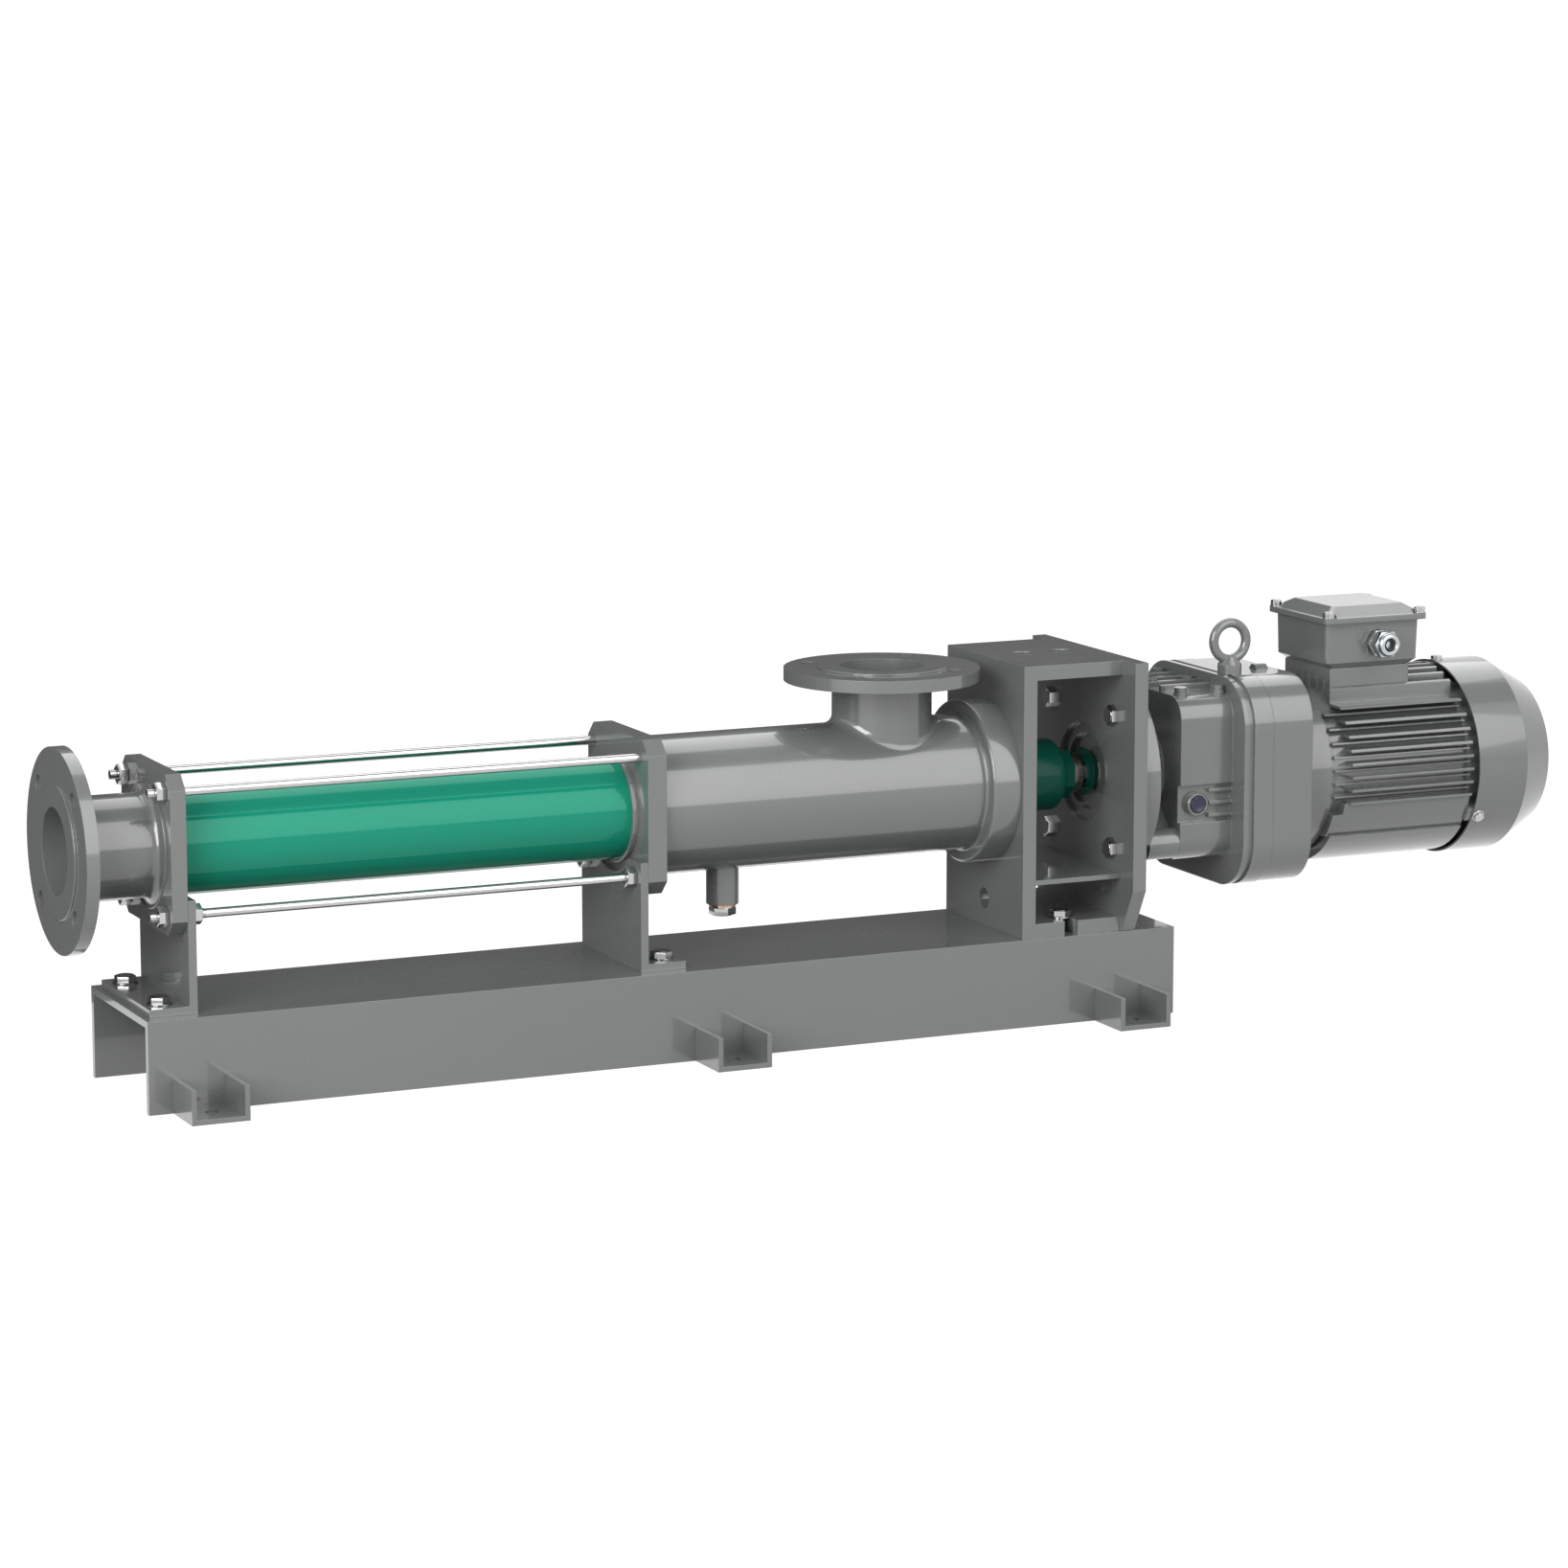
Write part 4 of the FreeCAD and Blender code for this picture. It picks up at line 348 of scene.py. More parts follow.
def useGroup(tree, group, vector, **values):
    node = addNode(tree, "ShaderNodeGroup", node_tree=group)
    tree.links.new(vector, node.inputs["Vector"])
    for label, value in values.items():
        feed(tree, value, node.inputs[label.replace("_", " ")])
    return node


def startMaterial(name):
    material = bpy.data.materials.new(name)
    material.use_nodes = True
    tree = material.node_tree
    place = addNode(tree, "ShaderNodeTexCoord")
    mapping = addNode(tree, "ShaderNodeMapping")
    tree.links.new(place.outputs["Object"], mapping.inputs["Vector"])
    return material, tree, tree.nodes["Principled BSDF"], mapping.outputs["Vector"]


def addBump(tree, shader, height, normal, strength, distance):
    bump = addNode(tree, "ShaderNodeBump")
    bump.inputs["Strength"].default_value = strength
    bump.inputs["Distance"].default_value = distance
    tree.links.new(height, bump.inputs["Height"])
    tree.links.new(normal, bump.inputs["Normal"])
    tree.links.new(bump.outputs["Normal"], shader.inputs["Normal"])


def paintFinish(name, look):
    material, tree, shader, vector = startMaterial(name)
    tone = useGroup(tree, toneGroup, vector, Color=look["color"], Drift_Scale=4.5, Drift=look["drift"],
                    Speck_Scale=210.0, Speck=look["speck"])
    edge = useGroup(tree, edgeGroup, vector, Radius=look["edgeRadius"], Amount=look["wear"],
                    Break_Scale=48.0)
    # edges turn a lighter tone of the paint: partly paint wear, partly a painted highlight
    wornAndLit = addMix(tree, edge.outputs["Edge"], tone.outputs["Color"], look["wornColor"])
    tree.links.new(wornAndLit, shader.inputs["Base Color"])
    sheen = useGroup(tree, sheenGroup, vector, Scale=7.0, Low=look["rough"][0], High=look["rough"][1])
    tree.links.new(sheen.outputs["Roughness"], shader.inputs["Roughness"])
    peel = useGroup(tree, peelGroup, vector, Peel_Scale=look["peelScale"], Peel=1.0, Pit_Scale=850.0,
                    Pit=look["pit"])
    addBump(tree, shader, peel.outputs["Height"], edge.outputs["Normal"], look["bump"], distance=0.0004)
    shader.inputs["IOR"].default_value = look["ior"]
    shader.inputs["Metallic"].default_value = look["metal"]
    shader.inputs["Coat Weight"].default_value = look["coat"]
    shader.inputs["Coat Roughness"].default_value = look["coatRough"]
    return material


def metalFinish(name, look):
    material, tree, shader, vector = startMaterial(name)
    tone = useGroup(tree, toneGroup, vector, Color=look["color"], Drift_Scale=14.0, Drift=look["drift"],
                    Speck_Scale=380.0, Speck=0.04)
    marks = useGroup(tree, toolGroup, vector, Lay=look["lay"], Depth=1.0)
    shaded = addMix(tree, addMath(tree, "MULTIPLY", marks.outputs["Mask"], look["streak"]),
                    tone.outputs["Color"], look["dark"])
    tree.links.new(shaded, shader.inputs["Base Color"])
    sheen = useGroup(tree, sheenGroup, vector, Scale=22.0, Low=look["rough"][0], High=look["rough"][1])
    tree.links.new(sheen.outputs["Roughness"], shader.inputs["Roughness"])
    edge = useGroup(tree, edgeGroup, vector, Radius=look["edgeRadius"], Amount=0.0, Break_Scale=60.0)
    addBump(tree, shader, marks.outputs["Height"], edge.outputs["Normal"], look["bump"], distance=0.0002)
    shader.inputs["Metallic"].default_value = look["metal"]
    return material


def mouldedFinish(name, look):
    material, tree, shader, vector = startMaterial(name)
    tone = useGroup(tree, toneGroup, vector, Color=look["color"], Drift_Scale=11.0, Drift=look["drift"],
                    Speck_Scale=520.0, Speck=look["speck"])
    edge = useGroup(tree, edgeGroup, vector, Radius=look["edgeRadius"], Amount=look["wear"],
                    Break_Scale=90.0)
    # edges turn a lighter tone of the colour: partly wear, partly a painted highlight
    wornAndLit = addMix(tree, edge.outputs["Edge"], tone.outputs["Color"], look["wornColor"])
    tree.links.new(wornAndLit, shader.inputs["Base Color"])
    sheen = useGroup(tree, sheenGroup, vector, Scale=16.0, Low=look["rough"][0], High=look["rough"][1])
    tree.links.new(sheen.outputs["Roughness"], shader.inputs["Roughness"])
    grain = useGroup(tree, peelGroup, vector, Peel_Scale=look["grainScale"], Peel=0.6, Pit_Scale=1500.0,
                     Pit=0.5)
    addBump(tree, shader, grain.outputs["Height"], edge.outputs["Normal"], look["bump"], distance=0.0003)
    return material


# each look's edge colour is a lighter tone of its own colour: partly paint wear, partly a painted highlight
# on the edges
paintLooks = {
    "grey_paint": {"color": (0.120, 0.126, 0.122, 1), "wornColor": (0.25, 0.26, 0.255, 1), "drift": 0.06,
                   "speck": 0.03, "edgeRadius": 0.0010, "wear": 0.40, "rough": (0.22, 0.30), "ior": 1.5,
                   "peelScale": 330.0, "pit": 0.04, "bump": 0.02, "coat": 1.0, "coatRough": 0.06,
                   "metal": 0.0},
    "fan_cover_paint": {"color": (0.118, 0.124, 0.120, 1), "wornColor": (0.24, 0.25, 0.245, 1), "drift": 0.05,
                        "speck": 0.04, "edgeRadius": 0.0010, "wear": 0.35, "rough": (0.20, 0.28), "ior": 1.5,
                        "peelScale": 360.0, "pit": 0.03, "bump": 0.02, "coat": 1.0, "coatRough": 0.05,
                        "metal": 0.0},
    "stator_green": {"color": (0.007, 0.218, 0.137, 1), "wornColor": (0.05, 0.34, 0.24, 1), "drift": 0.04,
                     "speck": 0.02, "edgeRadius": 0.0010, "wear": 0.25, "rough": (0.07, 0.12), "ior": 1.27,
                     "peelScale": 240.0, "pit": 0.0, "bump": 0.02, "coat": 0.0, "coatRough": 0.03,
                     "metal": 0.08},
    "seal_green": {"color": (0.004, 0.070, 0.048, 1), "wornColor": (0.02, 0.16, 0.11, 1), "drift": 0.06,
                   "speck": 0.03, "edgeRadius": 0.0009, "wear": 0.30, "rough": (0.12, 0.20), "ior": 1.20,
                   "peelScale": 260.0, "pit": 0.0, "bump": 0.02, "coat": 0.0, "coatRough": 0.05,
                   "metal": 0.0},
}
# the castings' edge colour is likewise lighter: partly paint wear, partly a painted highlight
castLook = {"color": (0.120, 0.126, 0.122, 1), "wornColor": (0.26, 0.27, 0.265, 1), "drift": 0.08,
            "speck": 0.05, "edgeRadius": 0.0024, "wear": 0.35, "rough": (0.24, 0.33), "ior": 1.5,
            "peelScale": 300.0, "pit": 0.20, "bump": 0.04, "coat": 1.0, "coatRough": 0.08, "metal": 0.0}
castNodes = ("gear_case", "gear_cover", "motor_adaptor", "motor_frame", "terminal_box", "terminal_lid",
             "rear_end_shield")

metalLooks = {
    "bright_steel": {"color": (0.50, 0.505, 0.50, 1), "dark": (0.22, 0.225, 0.22, 1), "drift": 0.05,
                     "lay": (1500.0, 25.0, 25.0), "streak": 0.15, "rough": (0.10, 0.20), "bump": 0.10,
                     "edgeRadius": 0.0005, "metal": 1.0},
    "shaft_steel": {"color": (0.50, 0.44, 0.43, 1), "dark": (0.30, 0.25, 0.25, 1), "drift": 0.05,
                    "lay": (1900.0, 20.0, 20.0), "streak": 0.3, "rough": (0.16, 0.26), "bump": 0.15,
                    "edgeRadius": 0.0005, "metal": 1.0},
    "joint_steel": {"color": (0.46, 0.45, 0.44, 1), "dark": (0.24, 0.24, 0.24, 1), "drift": 0.10,
                    "lay": (1200.0, 20.0, 20.0), "streak": 0.3, "rough": (0.24, 0.36), "bump": 0.2,
                    "edgeRadius": 0.0006, "metal": 1.0},
    "rotor_chrome": {"color": (0.72, 0.73, 0.75, 1), "dark": (0.50, 0.51, 0.54, 1), "drift": 0.03,
                     "lay": (900.0, 60.0, 60.0), "streak": 0.15, "rough": (0.06, 0.12), "bump": 0.05,
                     "edgeRadius": 0.0005, "metal": 1.0},
    "nickel": {"color": (0.50, 0.53, 0.54, 1), "dark": (0.24, 0.26, 0.27, 1), "drift": 0.06,
               "lay": (40.0, 900.0, 40.0), "streak": 0.2, "rough": (0.18, 0.28), "bump": 0.12,
               "edgeRadius": 0.0004, "metal": 1.0},
    "copper_washer": {"color": (0.68, 0.32, 0.20, 1), "dark": (0.34, 0.14, 0.08, 1), "drift": 0.18,
                      "lay": (60.0, 60.0, 1400.0), "streak": 0.35, "rough": (0.22, 0.38), "bump": 0.2,
                      "edgeRadius": 0.0004, "metal": 1.0},
    "spring_steel": {"color": (0.38, 0.38, 0.40, 1), "dark": (0.18, 0.18, 0.20, 1), "drift": 0.08,
                     "lay": (200.0, 200.0, 200.0), "streak": 0.3, "rough": (0.22, 0.32), "bump": 0.1,
                     "edgeRadius": 0.0003, "metal": 1.0},
    "gear_steel": {"color": (0.36, 0.36, 0.37, 1), "dark": (0.16, 0.16, 0.17, 1), "drift": 0.10,
                   "lay": (1100.0, 40.0, 40.0), "streak": 0.35, "rough": (0.22, 0.34), "bump": 0.2,
                   "edgeRadius": 0.0005, "metal": 1.0},
    "bearing_steel": {"color": (0.60, 0.60, 0.61, 1), "dark": (0.35, 0.35, 0.36, 1), "drift": 0.04,
                      "lay": (1600.0, 20.0, 20.0), "streak": 0.2, "rough": (0.10, 0.18), "bump": 0.1,
                      "edgeRadius": 0.0004, "metal": 1.0},
    "lamination": {"color": (0.22, 0.22, 0.23, 1), "dark": (0.08, 0.08, 0.09, 1), "drift": 0.12,
                   "lay": (2000.0, 12.0, 12.0), "streak": 0.6, "rough": (0.35, 0.50), "bump": 0.5,
                   "edgeRadius": 0.0004, "metal": 0.9},
    "winding_copper": {"color": (0.45, 0.15, 0.07, 1), "dark": (0.20, 0.05, 0.02, 1), "drift": 0.15,
                       "lay": (60.0, 1300.0, 1300.0), "streak": 0.5, "rough": (0.22, 0.34), "bump": 0.5,
                       "edgeRadius": 0.0005, "metal": 0.8},
}

# each look's edge colour is a lighter tone of its own colour: partly wear, partly a painted highlight on the
# edges
mouldedLooks = {
    "blue_plug": {"color": (0.010, 0.014, 0.034, 1), "wornColor": (0.03, 0.035, 0.06, 1), "drift": 0.06,
                  "speck": 0.04, "edgeRadius": 0.0005, "wear": 0.4, "rough": (0.24, 0.34),
                  "grainScale": 700.0, "bump": 0.08},
    "nitrile_rubber": {"color": (0.020, 0.020, 0.021, 1), "wornColor": (0.05, 0.05, 0.05, 1), "drift": 0.15,
                       "speck": 0.12, "edgeRadius": 0.0006, "wear": 0.3, "rough": (0.50, 0.66),
                       "grainScale": 600.0, "bump": 0.2},
    "black_rubber": {"color": (0.012, 0.012, 0.012, 1), "wornColor": (0.04, 0.04, 0.04, 1), "drift": 0.12,
                     "speck": 0.10, "edgeRadius": 0.0005, "wear": 0.3, "rough": (0.45, 0.60),
                     "grainScale": 650.0, "bump": 0.2},
    "seal_carbon": {"color": (0.030, 0.030, 0.032, 1), "wornColor": (0.07, 0.07, 0.075, 1), "drift": 0.08,
                    "speck": 0.10, "edgeRadius": 0.0004, "wear": 0.3, "rough": (0.22, 0.34),
                    "grainScale": 900.0, "bump": 0.08},
    "fan_plastic": {"color": (0.010, 0.011, 0.012, 1), "wornColor": (0.03, 0.03, 0.032, 1), "drift": 0.08,
                    "speck": 0.06, "edgeRadius": 0.0006, "wear": 0.3, "rough": (0.36, 0.48),
                    "grainScale": 800.0, "bump": 0.12},
}

finishes = {}
for makeFinish, looks in ((paintFinish, paintLooks), (metalFinish, metalLooks),
                          (mouldedFinish, mouldedLooks)):
    for slotName, look in looks.items():
        finishes[slotName] = makeFinish(slotName, look)

# two variants: rougher paint for the castings, and duller zinc for the bracket bolts
castGrey = paintFinish("cast_grey", castLook)
zincLook = dict(metalLooks["bright_steel"], color=(0.30, 0.305, 0.30, 1), dark=(0.12, 0.125, 0.12, 1))
dullZinc = metalFinish("dull_zinc", zincLook)

slots = {row["node"]: row["material_slot"] for row in frame["record"]["subparts"]}
for nodeName, slotName in slots.items():
    mesh = nodes[nodeName].data
    mesh.materials.clear()
    mesh.materials.append(castGrey if nodeName in castNodes else finishes[slotName])
print("finishes ready:", len(finishes), "and two variants")


# shapes that the fittings are made from

mergeDistance = 1e-6
coreRadius = 0.0003  # a turned form keeps a fine bore on its axis, so that its faces all have four corners
fineSteps = 128  # round steps of the large rings
halfTurn = Matrix.Rotation(math.pi, 4, "Y")  # points a fitting the other way along its axis
headFace = {"share": 0.44, "step": 0.0002, "rise": 0.0004, "top": 0.97, "core": 0.0002}
washerEase = {"most": 0.0004, "share": 0.3}
threadForm = {"sunk": 0.0003, "foot": 0.82, "crest": 0.41}


def axisMatrix(axis, place, turn=0.0):
    # the local Z axis goes along the named axis, after a turn about itself
    lays = {"X": Matrix.Rotation(math.radians(90), 4, "Y"), "Y": Matrix.Rotation(math.radians(-90), 4, "X"),
            "Z": Matrix.Identity(4)}
    return Matrix.Translation(place) @ lays[axis] @ Matrix.Rotation(math.radians(turn), 4, "Z")


def addForm(target, part, matrix):
    # moves a small form into place and adds it to a larger one
    bmesh.ops.remove_doubles(part, verts=part.verts, dist=mergeDistance)
    bmesh.ops.recalc_face_normals(part, faces=part.faces)
    bmesh.ops.transform(part, matrix=matrix, verts=part.verts)
    holder = bpy.data.meshes.new("holder")
    part.to_mesh(holder)
    part.free()
    target.from_mesh(holder)
    bpy.data.meshes.remove(holder)


def addTurned(target, profile, matrix, steps=48):
    # a ring or knob: a closed profile of (along, radius) points spun about the axis
    part = bmesh.new()
    points = [part.verts.new((radius, 0, along)) for along, radius in profile]
    lines = [part.edges.new((points[i - 1], points[i])) for i in range(len(points))]
    bmesh.ops.spin(part, geom=points + lines, cent=(0, 0, 0), axis=(0, 0, 1), angle=math.tau, steps=steps,
                   use_merge=True)
    addForm(target, part, matrix)


def addShank(target, radius, top, reach, ease, matrix, steps):
    # the plain stem under a head, eased at its far end
    addTurned(target, [(top, coreRadius), (top, radius), (-reach + ease, radius), (-reach, radius - ease),
                       (-reach, coreRadius)], matrix, steps)


def addHexagon(target, width, start, end, matrix, chamfer, bothEnds):
    # a hexagon chamfered at both ends, or at its far end, which then has a round face on it
    part = bmesh.new()
    corner = width / math.sqrt(3)
    bmesh.ops.create_cone(part, cap_ends=True, segments=6, radius1=corner, radius2=corner, depth=end - start)
    bmesh.ops.translate(part, verts=part.verts, vec=(0, 0, (start + end) / 2))
    rims = []
    for edge in part.edges:
        heights = [vert.co.z for vert in edge.verts]
        if min(heights) > end - mergeDistance or (bothEnds and max(heights) < start + mergeDistance):
            rims.append(edge)
    bmesh.ops.bevel(part, geom=rims, offset=chamfer, segments=2, profile=0.5, affect="EDGES", material=-1)
    addForm(target, part, matrix)
    if not bothEnds:
        face, core = width * headFace["share"], headFace["core"]
        foot, top = end - chamfer, end + headFace["rise"]
        addTurned(target, [(foot, core), (foot, face), (end + headFace["step"], face),
                           (top, face * headFace["top"]), (top, core)], matrix)


def addWasher(target, inner, outer, start, end, matrix):
    ease = min(washerEase["most"], (end - start) * washerEase["share"])
    addTurned(target, [(start, inner), (start, outer - ease), (start + ease, outer), (end - ease, outer),
                       (end, outer - ease), (end, inner)], matrix)


def addScrewHead(target, values, matrix):
    # a washer with a small hexagon head on it
    addWasher(target, *values["washer"], matrix)
    addHexagon(target, values["width"], *values["head"], matrix, values["chamfer"], False)


def addThread(target, radius, start, length, pitch, height, matrix, steps=20):
    # a helical ridge on a rod, closed at both ends
    part = bmesh.new()
    foot = radius - threadForm["sunk"]
    profile = ((foot, 0.0), (foot, pitch * threadForm["foot"]),
               (radius + height, pitch * threadForm["crest"]))
    points = [part.verts.new((away, 0, start + along)) for away, along in profile]
    lines = [part.edges.new((points[i - 1], points[i])) for i in range(len(points))]
    turns = max(1, int((length - pitch) / pitch))
    bmesh.ops.spin(part, geom=points + lines, cent=(0, 0, 0), axis=(0, 0, 1), dvec=(0, 0, pitch / steps),
                   angle=math.tau * turns, steps=steps * turns, use_merge=False)
    bmesh.ops.holes_fill(part, edges=[edge for edge in part.edges if edge.is_boundary], sides=3)
    addForm(target, part, matrix)


def makePiece(name, form, slotName, body="pump_frame", finish=None, angle=35):
    mesh = bpy.data.meshes.new(name)
    form.to_mesh(mesh)
    form.free()
    mesh.materials.append(finish or finishes[slotName])
    mesh.shade_smooth()
    mesh.set_sharp_from_angle(angle=math.radians(angle))
    piece = bpy.data.objects.new(name, mesh)
    bpy.context.scene.collection.objects.link(piece)
    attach(piece, body)
    return piece


# nuts and threads of the tie rods

rodValues = {"spread": 0.0595, "axisHeight": 0.244, "nutWidth": 0.018, "nutStarts": (-0.720, -0.6965, -0.239),
             "nutLength": 0.010, "chamfer": 0.0009, "rodRadius": 0.0045, "threadStart": -0.7365,
             "threadLength": 0.0068, "pitch": 0.0013, "threadHeight": 0.0004, "innerThread": 0.006,
             "turn": 30}


def makeRodNuts(values):
    nuts, threads = bmesh.new(), bmesh.new()
    outer, inner, far = values["nutStarts"]
    length, innerThread = values["nutLength"], values["innerThread"]

    def addNut(start, matrix):
        addHexagon(nuts, values["nutWidth"], start, start + length, matrix, values["chamfer"], True)

    def addRodThread(start, threadLength, matrix):
        addThread(threads, values["rodRadius"], start, threadLength, values["pitch"], values["threadHeight"],
                  matrix)

    for side in (-1, 1):
        for level in (-1, 1):
            place = Vector((0, side * values["spread"], values["axisHeight"] + level * values["spread"]))
            matrix = axisMatrix("X", place, values["turn"])
            addNut(outer - length, matrix)
            addRodThread(values["threadStart"], values["threadLength"], matrix)
            if level < 0:  # the lower rods carry nuts between the plates too
                addNut(inner, matrix)
                addNut(far - length, matrix)
                addRodThread(inner + length, innerThread, matrix)
                addRodThread(far - length - innerThread, innerThread, matrix)
    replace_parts(makePiece("rodNuts", nuts, "bright_steel"), "tie_rod_nuts")
    makePiece("rodThreads", threads, "bright_steel")


makeRodNuts(rodValues)
print("rod nuts ready")


# bolts with hexagon heads: on the brackets, in the lantern and in the gear flange

boltValues = {
    "bracketBolts": {"node": "bracket_bolts", "axis": "Z", "turn": 0, "width": 0.019, "head": (0.099, 0.107),
                     "shank": (0.071, 0.099), "radius": 0.006, "washer": 0.0125,
                     "places": ((-0.7275, -0.054), (-0.7275, 0.054), (-0.208, -0.054), (-0.208, 0.054))},
    "lanternBolts": {"node": "lantern_bolts", "axis": "Z", "turn": 0, "width": 0.019, "head": (0.106, 0.114),
                     "shank": (0.075, 0.106), "radius": 0.006, "washer": 0.0125,
                     "places": ((0.234, -0.0625), (0.234, 0.0625))},
    "gearFlangeBolts": {"node": "gear_flange_bolts", "axis": "X", "turn": 30, "width": 0.019,
                        "head": (0.291, 0.283), "shank": (0.326, 0.291), "radius": 0.006, "washer": 0.0,
                        "places": ((-0.069, 0.175), (-0.069, 0.313), (0.069, 0.175), (0.069, 0.313))},
}
boltForm = {"chamfer": 0.0010, "seatGap": 0.0014, "hole": 0.0064, "washerHeight": 0.0016, "overlap": 0.002,
            "ease": 0.001, "steps": 24}


def makeBolts(name, values):
    form = bmesh.new()
    seat, crown = values["head"]
    height = abs(crown - seat)
    reach = abs(values["shank"][1] - values["shank"][0])
    for first, second in values["places"]:
        place = (first, second, seat) if values["axis"] == "Z" else (seat, first, second)
        matrix = axisMatrix(values["axis"], place, values["turn"])
        if crown < seat:
            matrix = matrix @ halfTurn
        seatGap = boltForm["seatGap"] if values["washer"] else 0.0
        addHexagon(form, values["width"], seatGap, height - headFace["rise"], matrix, boltForm["chamfer"],
                   False)
        if values["washer"]:
            addWasher(form, boltForm["hole"], values["washer"], 0.0, boltForm["washerHeight"], matrix)
        addShank(form, values["radius"], boltForm["overlap"], reach, boltForm["ease"], matrix,
                 boltForm["steps"])
    finish = dullZinc if values["node"] == "bracket_bolts" else None
    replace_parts(makePiece(name, form, "bright_steel", finish=finish), values["node"])


for boltName, values in boltValues.items():
    makeBolts(boltName, values)
print("bolts ready")


# drain plug under the suction housing

drainValues = {"place": (-0.1175, 0, 0.136), "width": 0.024, "height": 0.010, "start": 0.0018,
               "chamfer": 0.0012, "collar": 0.0128, "collarHole": 0.0040, "collarHeight": 0.0020,
               "stub": 0.010, "stubLength": 0.020, "overlap": 0.001, "ease": 0.001, "steps": 32}


def makeDrainPlug(values):
    form = bmesh.new()
    matrix = axisMatrix("Z", values["place"]) @ halfTurn
    addHexagon(form, values["width"], values["start"], values["height"] - headFace["rise"], matrix,
               values["chamfer"], False)
    addWasher(form, values["collarHole"], values["collar"], 0.0, values["collarHeight"], matrix)
    addShank(form, values["stub"], values["overlap"], values["stubLength"], values["ease"], matrix,
             values["steps"])
    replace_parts(makePiece("drainPlug", form, slots["drain_plug"]), "drain_plug")


makeDrainPlug(drainValues)
print("drain plug ready")


# cable gland: sealing ring, body, cap nut with a domed mouth, rubber insert

glandValues = {
    "place": (0.6135, -0.0525, 0.367), "turn": 30, "width": 0.027, "chamfer": 0.0014, "start": 0.0012,
    "bodyHex": 0.008,
    "neck": 0.003, "capHex": 0.009, "bore": 0.006, "tubeStart": -0.006, "tubeRadius": 0.0100,
    "tubeOverlap": 0.001, "dome": 0.006, "domeFoot": 0.0128, "domeSunk": 0.002, "domeSteps": 6, "lip": 0.0092,
    "threadRadius": 0.0098, "threadSunk": 0.0002, "threadMore": 0.0022, "pitch": 0.0012,
    "threadHeight": 0.0005, "threadSteps": 32,
    # each point: how far under the mouth it lies, and how far outside the bore
    "mouth": ((0.0, 0.0016), (0.0012, 0.0004), (0.0030, 0.0)),
    "insert": ((0.0100, 0.0002), (0.0024, 0.0002), (0.0016, -0.0006), (0.0020, -0.0014), (0.0034, -0.0018),
               (0.0100, -0.0018)),
    "ring": (0.0102, 0.0138, -0.0002, 0.0013),
}


def makeGland(values):
    matrix = axisMatrix("Y", values["place"], values["turn"]) @ halfTurn
    bodyEnd = values["bodyHex"]
    capStart = bodyEnd + values["neck"]
    capEnd = capStart + values["capHex"]
    mouth = capEnd + values["dome"]
    bore, foot, tube = values["bore"], values["domeFoot"], values["tubeRadius"]
    form = bmesh.new()
    for start, end in ((values["start"], bodyEnd), (capStart, capEnd)):
        addHexagon(form, values["width"], start, end, matrix, values["chamfer"], True)
    tubeEnd = capStart + values["tubeOverlap"]
    addTurned(form, [(values["tubeStart"], bore), (values["tubeStart"], tube), (tubeEnd, tube),
                     (tubeEnd, bore)], matrix)
    domeStart = capEnd - values["domeSunk"]
    dome = [(domeStart, bore), (domeStart, foot)]
    for step in range(values["domeSteps"] + 1):
        angle = math.radians(90 / values["domeSteps"] * step)
        radius = foot - (foot - values["lip"]) * (1 - math.cos(angle))
        dome.append((capEnd + values["dome"] * math.sin(angle), radius))
    dome += [(mouth - under, bore + outside) for under, outside in values["mouth"]]
    addTurned(form, dome, matrix)
    addThread(form, values["threadRadius"], bodyEnd - values["threadSunk"],
              values["neck"] + values["threadMore"], values["pitch"], values["threadHeight"], matrix,
              values["threadSteps"])
    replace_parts(makePiece("cableGland", form, "nickel"), "cable_gland")
    insert = bmesh.new()
    addTurned(insert, [(mouth - under, bore + outside) for under, outside in values["insert"]], matrix)
    makePiece("glandInsert", insert, "black_rubber")
    ring = bmesh.new()
    addWasher(ring, *values["ring"], matrix)
    makePiece("glandSealRing", ring, "black_rubber")


makeGland(glandValues)
print("cable gland ready")


# oil plug on the gear case: a flat disc in a pale ring

oilPlugValues = {
    "place": (0.381, -0.085, 0.216), "radius": 0.0087, "stub": 0.008, "stubDepth": 0.007, "seat": 0.0004,
    "stand": 0.0026, "easeAlong": 0.0005, "easeAcross": 0.0006, "dishRim": 0.0018, "dishFoot": 0.0022,
    "dish": 0.0002, "steps": 64,
    # the ring's section: heights, and its radii against the disc's radius or its own rim
    "rim": 0.0122, "ringFoot": -0.0002, "ringSide": 0.0008, "ringTop": 0.0018, "ringEase": 0.0010,
    "ringMouth": 0.0011, "ringThroat": 0.0009, "ringGap": 0.0001,
}


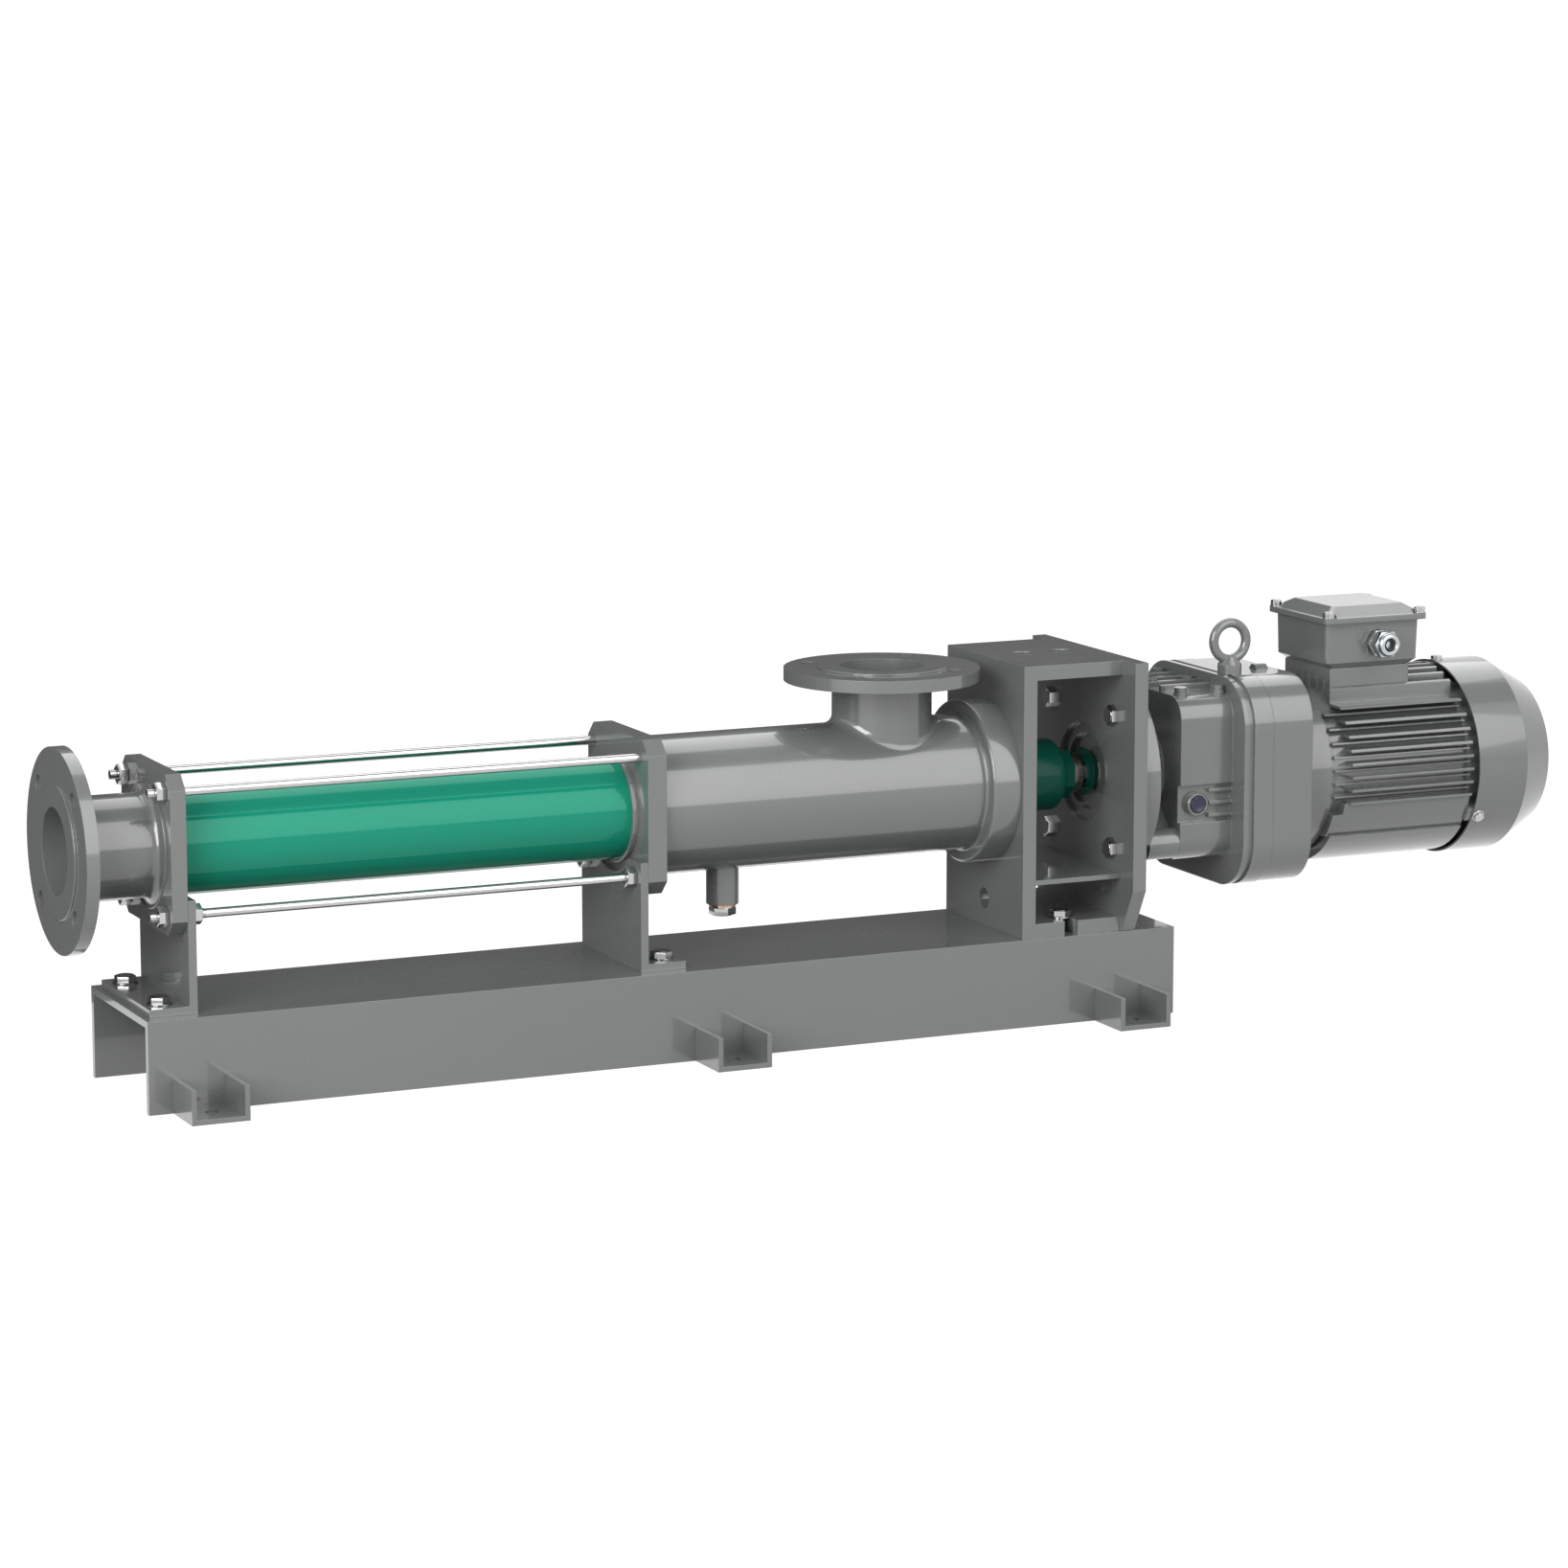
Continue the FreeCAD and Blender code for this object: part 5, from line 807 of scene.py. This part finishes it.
def makeOilPlug(values):
    matrix = axisMatrix("Y", values["place"]) @ halfTurn
    radius, stand, seat, stub = values["radius"], values["stand"], values["seat"], values["stub"]
    dishTop = stand - values["dish"]
    form = bmesh.new()
    addTurned(form, [(-values["stubDepth"], coreRadius), (-values["stubDepth"], stub), (seat, stub),
                     (seat, radius), (stand - values["easeAlong"], radius),
                     (stand, radius - values["easeAcross"]), (stand, radius - values["dishRim"]),
                     (dishTop, radius - values["dishFoot"]), (dishTop, coreRadius)], matrix, values["steps"])
    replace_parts(makePiece("oilPlug", form, "blue_plug"), "oil_plug")
    ring = bmesh.new()
    rim, throat = values["rim"], radius + values["ringGap"]
    foot, top = values["ringFoot"], values["ringTop"]
    addTurned(ring, [(foot, throat), (foot, rim), (values["ringSide"], rim), (top, rim - values["ringEase"]),
                     (top, radius + values["ringMouth"]), (values["ringThroat"], throat)], matrix,
              values["steps"])
    makePiece("oilPlugRing", ring, "grey_paint", finish=castGrey)


makeOilPlug(oilPlugValues)
print("oil plug ready")


# terminal lid: washers and hexagon heads on the four screws; a washer is its two radii, foot and top

lidValues = {"xPair": (0.5515, 0.662), "yPair": (-0.0545, 0.0545), "seat": 0.396, "head": (0.0008, 0.0062),
             "washer": (0.0030, 0.0064, 0.0, 0.0010), "width": 0.0104, "chamfer": 0.0006}


def makeLidScrews(values):
    form = bmesh.new()
    for x in values["xPair"]:
        for y in values["yPair"]:
            addScrewHead(form, values, axisMatrix("Z", (x, y, values["seat"])))
    makePiece("lidScrews", form, "bright_steel")


makeLidScrews(lidValues)
print("lid screws ready")


# fan cover: a thin black sheet inside its mouth that paints the shade there, and washers and heads on its
# screws

coverValues = {"axisHeight": 0.232, "inner": 0.1013, "start": 0.7116, "end": 0.7680, "wall": 0.0005,
               "screwX": 0.718, "outer": 0.1035, "angles": (90, 210, 330), "head": (0.0008, 0.0040),
               "washer": (0.0026, 0.0068, -0.0004, 0.0010), "width": 0.0104, "chamfer": 0.0006}


def makeFanCover(values):
    # a thin black sheet inside the mouth: painted shade where the cover's inside lies in shadow
    shadeSheet = bmesh.new()
    inner, wall = values["inner"], values["wall"]
    start, end = values["start"], values["end"]
    addTurned(shadeSheet, [(start, inner - wall), (start, inner), (end, inner), (end, inner - wall)],
              axisMatrix("X", (0, 0, values["axisHeight"])), fineSteps)
    makePiece("fanCoverShadeSheet", shadeSheet, "fan_plastic")
    washers = bmesh.new()
    for angle in values["angles"]:
        turn = Matrix.Rotation(math.radians(angle - 90), 4, "X")  # at 90 degrees the screw is on top
        place = Matrix.Translation((values["screwX"], 0, values["axisHeight"]))
        addScrewHead(washers, values, place @ turn @ Matrix.Translation((0, 0, values["outer"])))
    makePiece("fanCoverWashers", washers, "bright_steel")


makeFanCover(coverValues)
print("fan cover ready")


# rounded rims: the branch root and the raised flange faces

rimValues = {
    "branchRootRim": {"axis": "X", "place": (-0.7203, 0, 0.244), "radius": 0.0610, "bead": 0.0009},
    "dischargeFaceRim": {"axis": "X", "place": (-0.8101, 0, 0.244), "radius": 0.0656, "bead": 0.0008},
    "suctionFaceRim": {"axis": "Z", "place": (0.060, 0, 0.3691), "radius": 0.0656, "bead": 0.0008},
}
beadSides = 12
beadAngle = 80  # beads are smooth all round, so only sharper folds than this show


def makeRim(name, values):
    form = bmesh.new()
    bead, radius = values["bead"], values["radius"]
    profile = []
    for step in range(beadSides):
        angle = math.radians(360 / beadSides * step)
        profile.append((bead * math.cos(angle), radius + bead * math.sin(angle)))
    addTurned(form, profile, axisMatrix(values["axis"], values["place"]), fineSteps)
    makePiece(name, form, "grey_paint", angle=beadAngle)


for rimName, values in rimValues.items():
    makeRim(rimName, values)


# sockets that hold the ends of the stator tube; each goes from its plate to its mouth

socketValues = {"ends": {"dischargeSocket": (-0.7048, -0.6985), "suctionSocket": (-0.2307, -0.2375)},
                "axisHeight": 0.244, "inner": 0.0509, "outer": 0.0545, "round": 0.0012, "roundShare": 0.3}


def makeSocket(name, values):
    start, end = values["ends"][name]
    length, inner, outer, ease = abs(end - start), values["inner"], values["outer"], values["round"]
    small = ease * values["roundShare"]
    matrix = axisMatrix("X", (start, 0, values["axisHeight"]))
    if end < start:
        matrix = matrix @ halfTurn
    form = bmesh.new()
    addTurned(form, [(0.0, inner), (0.0, outer), (length - ease, outer), (length - small, outer - small),
                     (length, outer - ease), (length, inner)], matrix, fineSteps)
    makePiece(name, form, "grey_paint")


for socketName in socketValues["ends"]:
    makeSocket(socketName, socketValues)
print("rims ready")


# lantern: bright steel rings on the edges of the two round ports in its roof, as bare metal edges that also
# paint the highlight the edges catch

# each point of the section: its height against the roof, and how far outside the port's radius it lies
portValues = {"xPair": (0.2205, 0.2635), "top": 0.372, "radius": 0.0115, "steps": 64,
              "section": ((-0.0006, -0.0001), (0.0001, 0.0006), (-0.0008, 0.0006))}


def makePortHighlightRims(values):
    form = bmesh.new()
    profile = [(along, values["radius"] + outside) for along, outside in values["section"]]
    for x in values["xPair"]:
        addTurned(form, profile, axisMatrix("Z", (x, 0, values["top"])), values["steps"])
    # bright steel here is partly bare metal, partly a painted highlight on the port edges
    makePiece("portHighlightRims", form, "bright_steel")


makePortHighlightRims(portValues)
print("port rims ready")
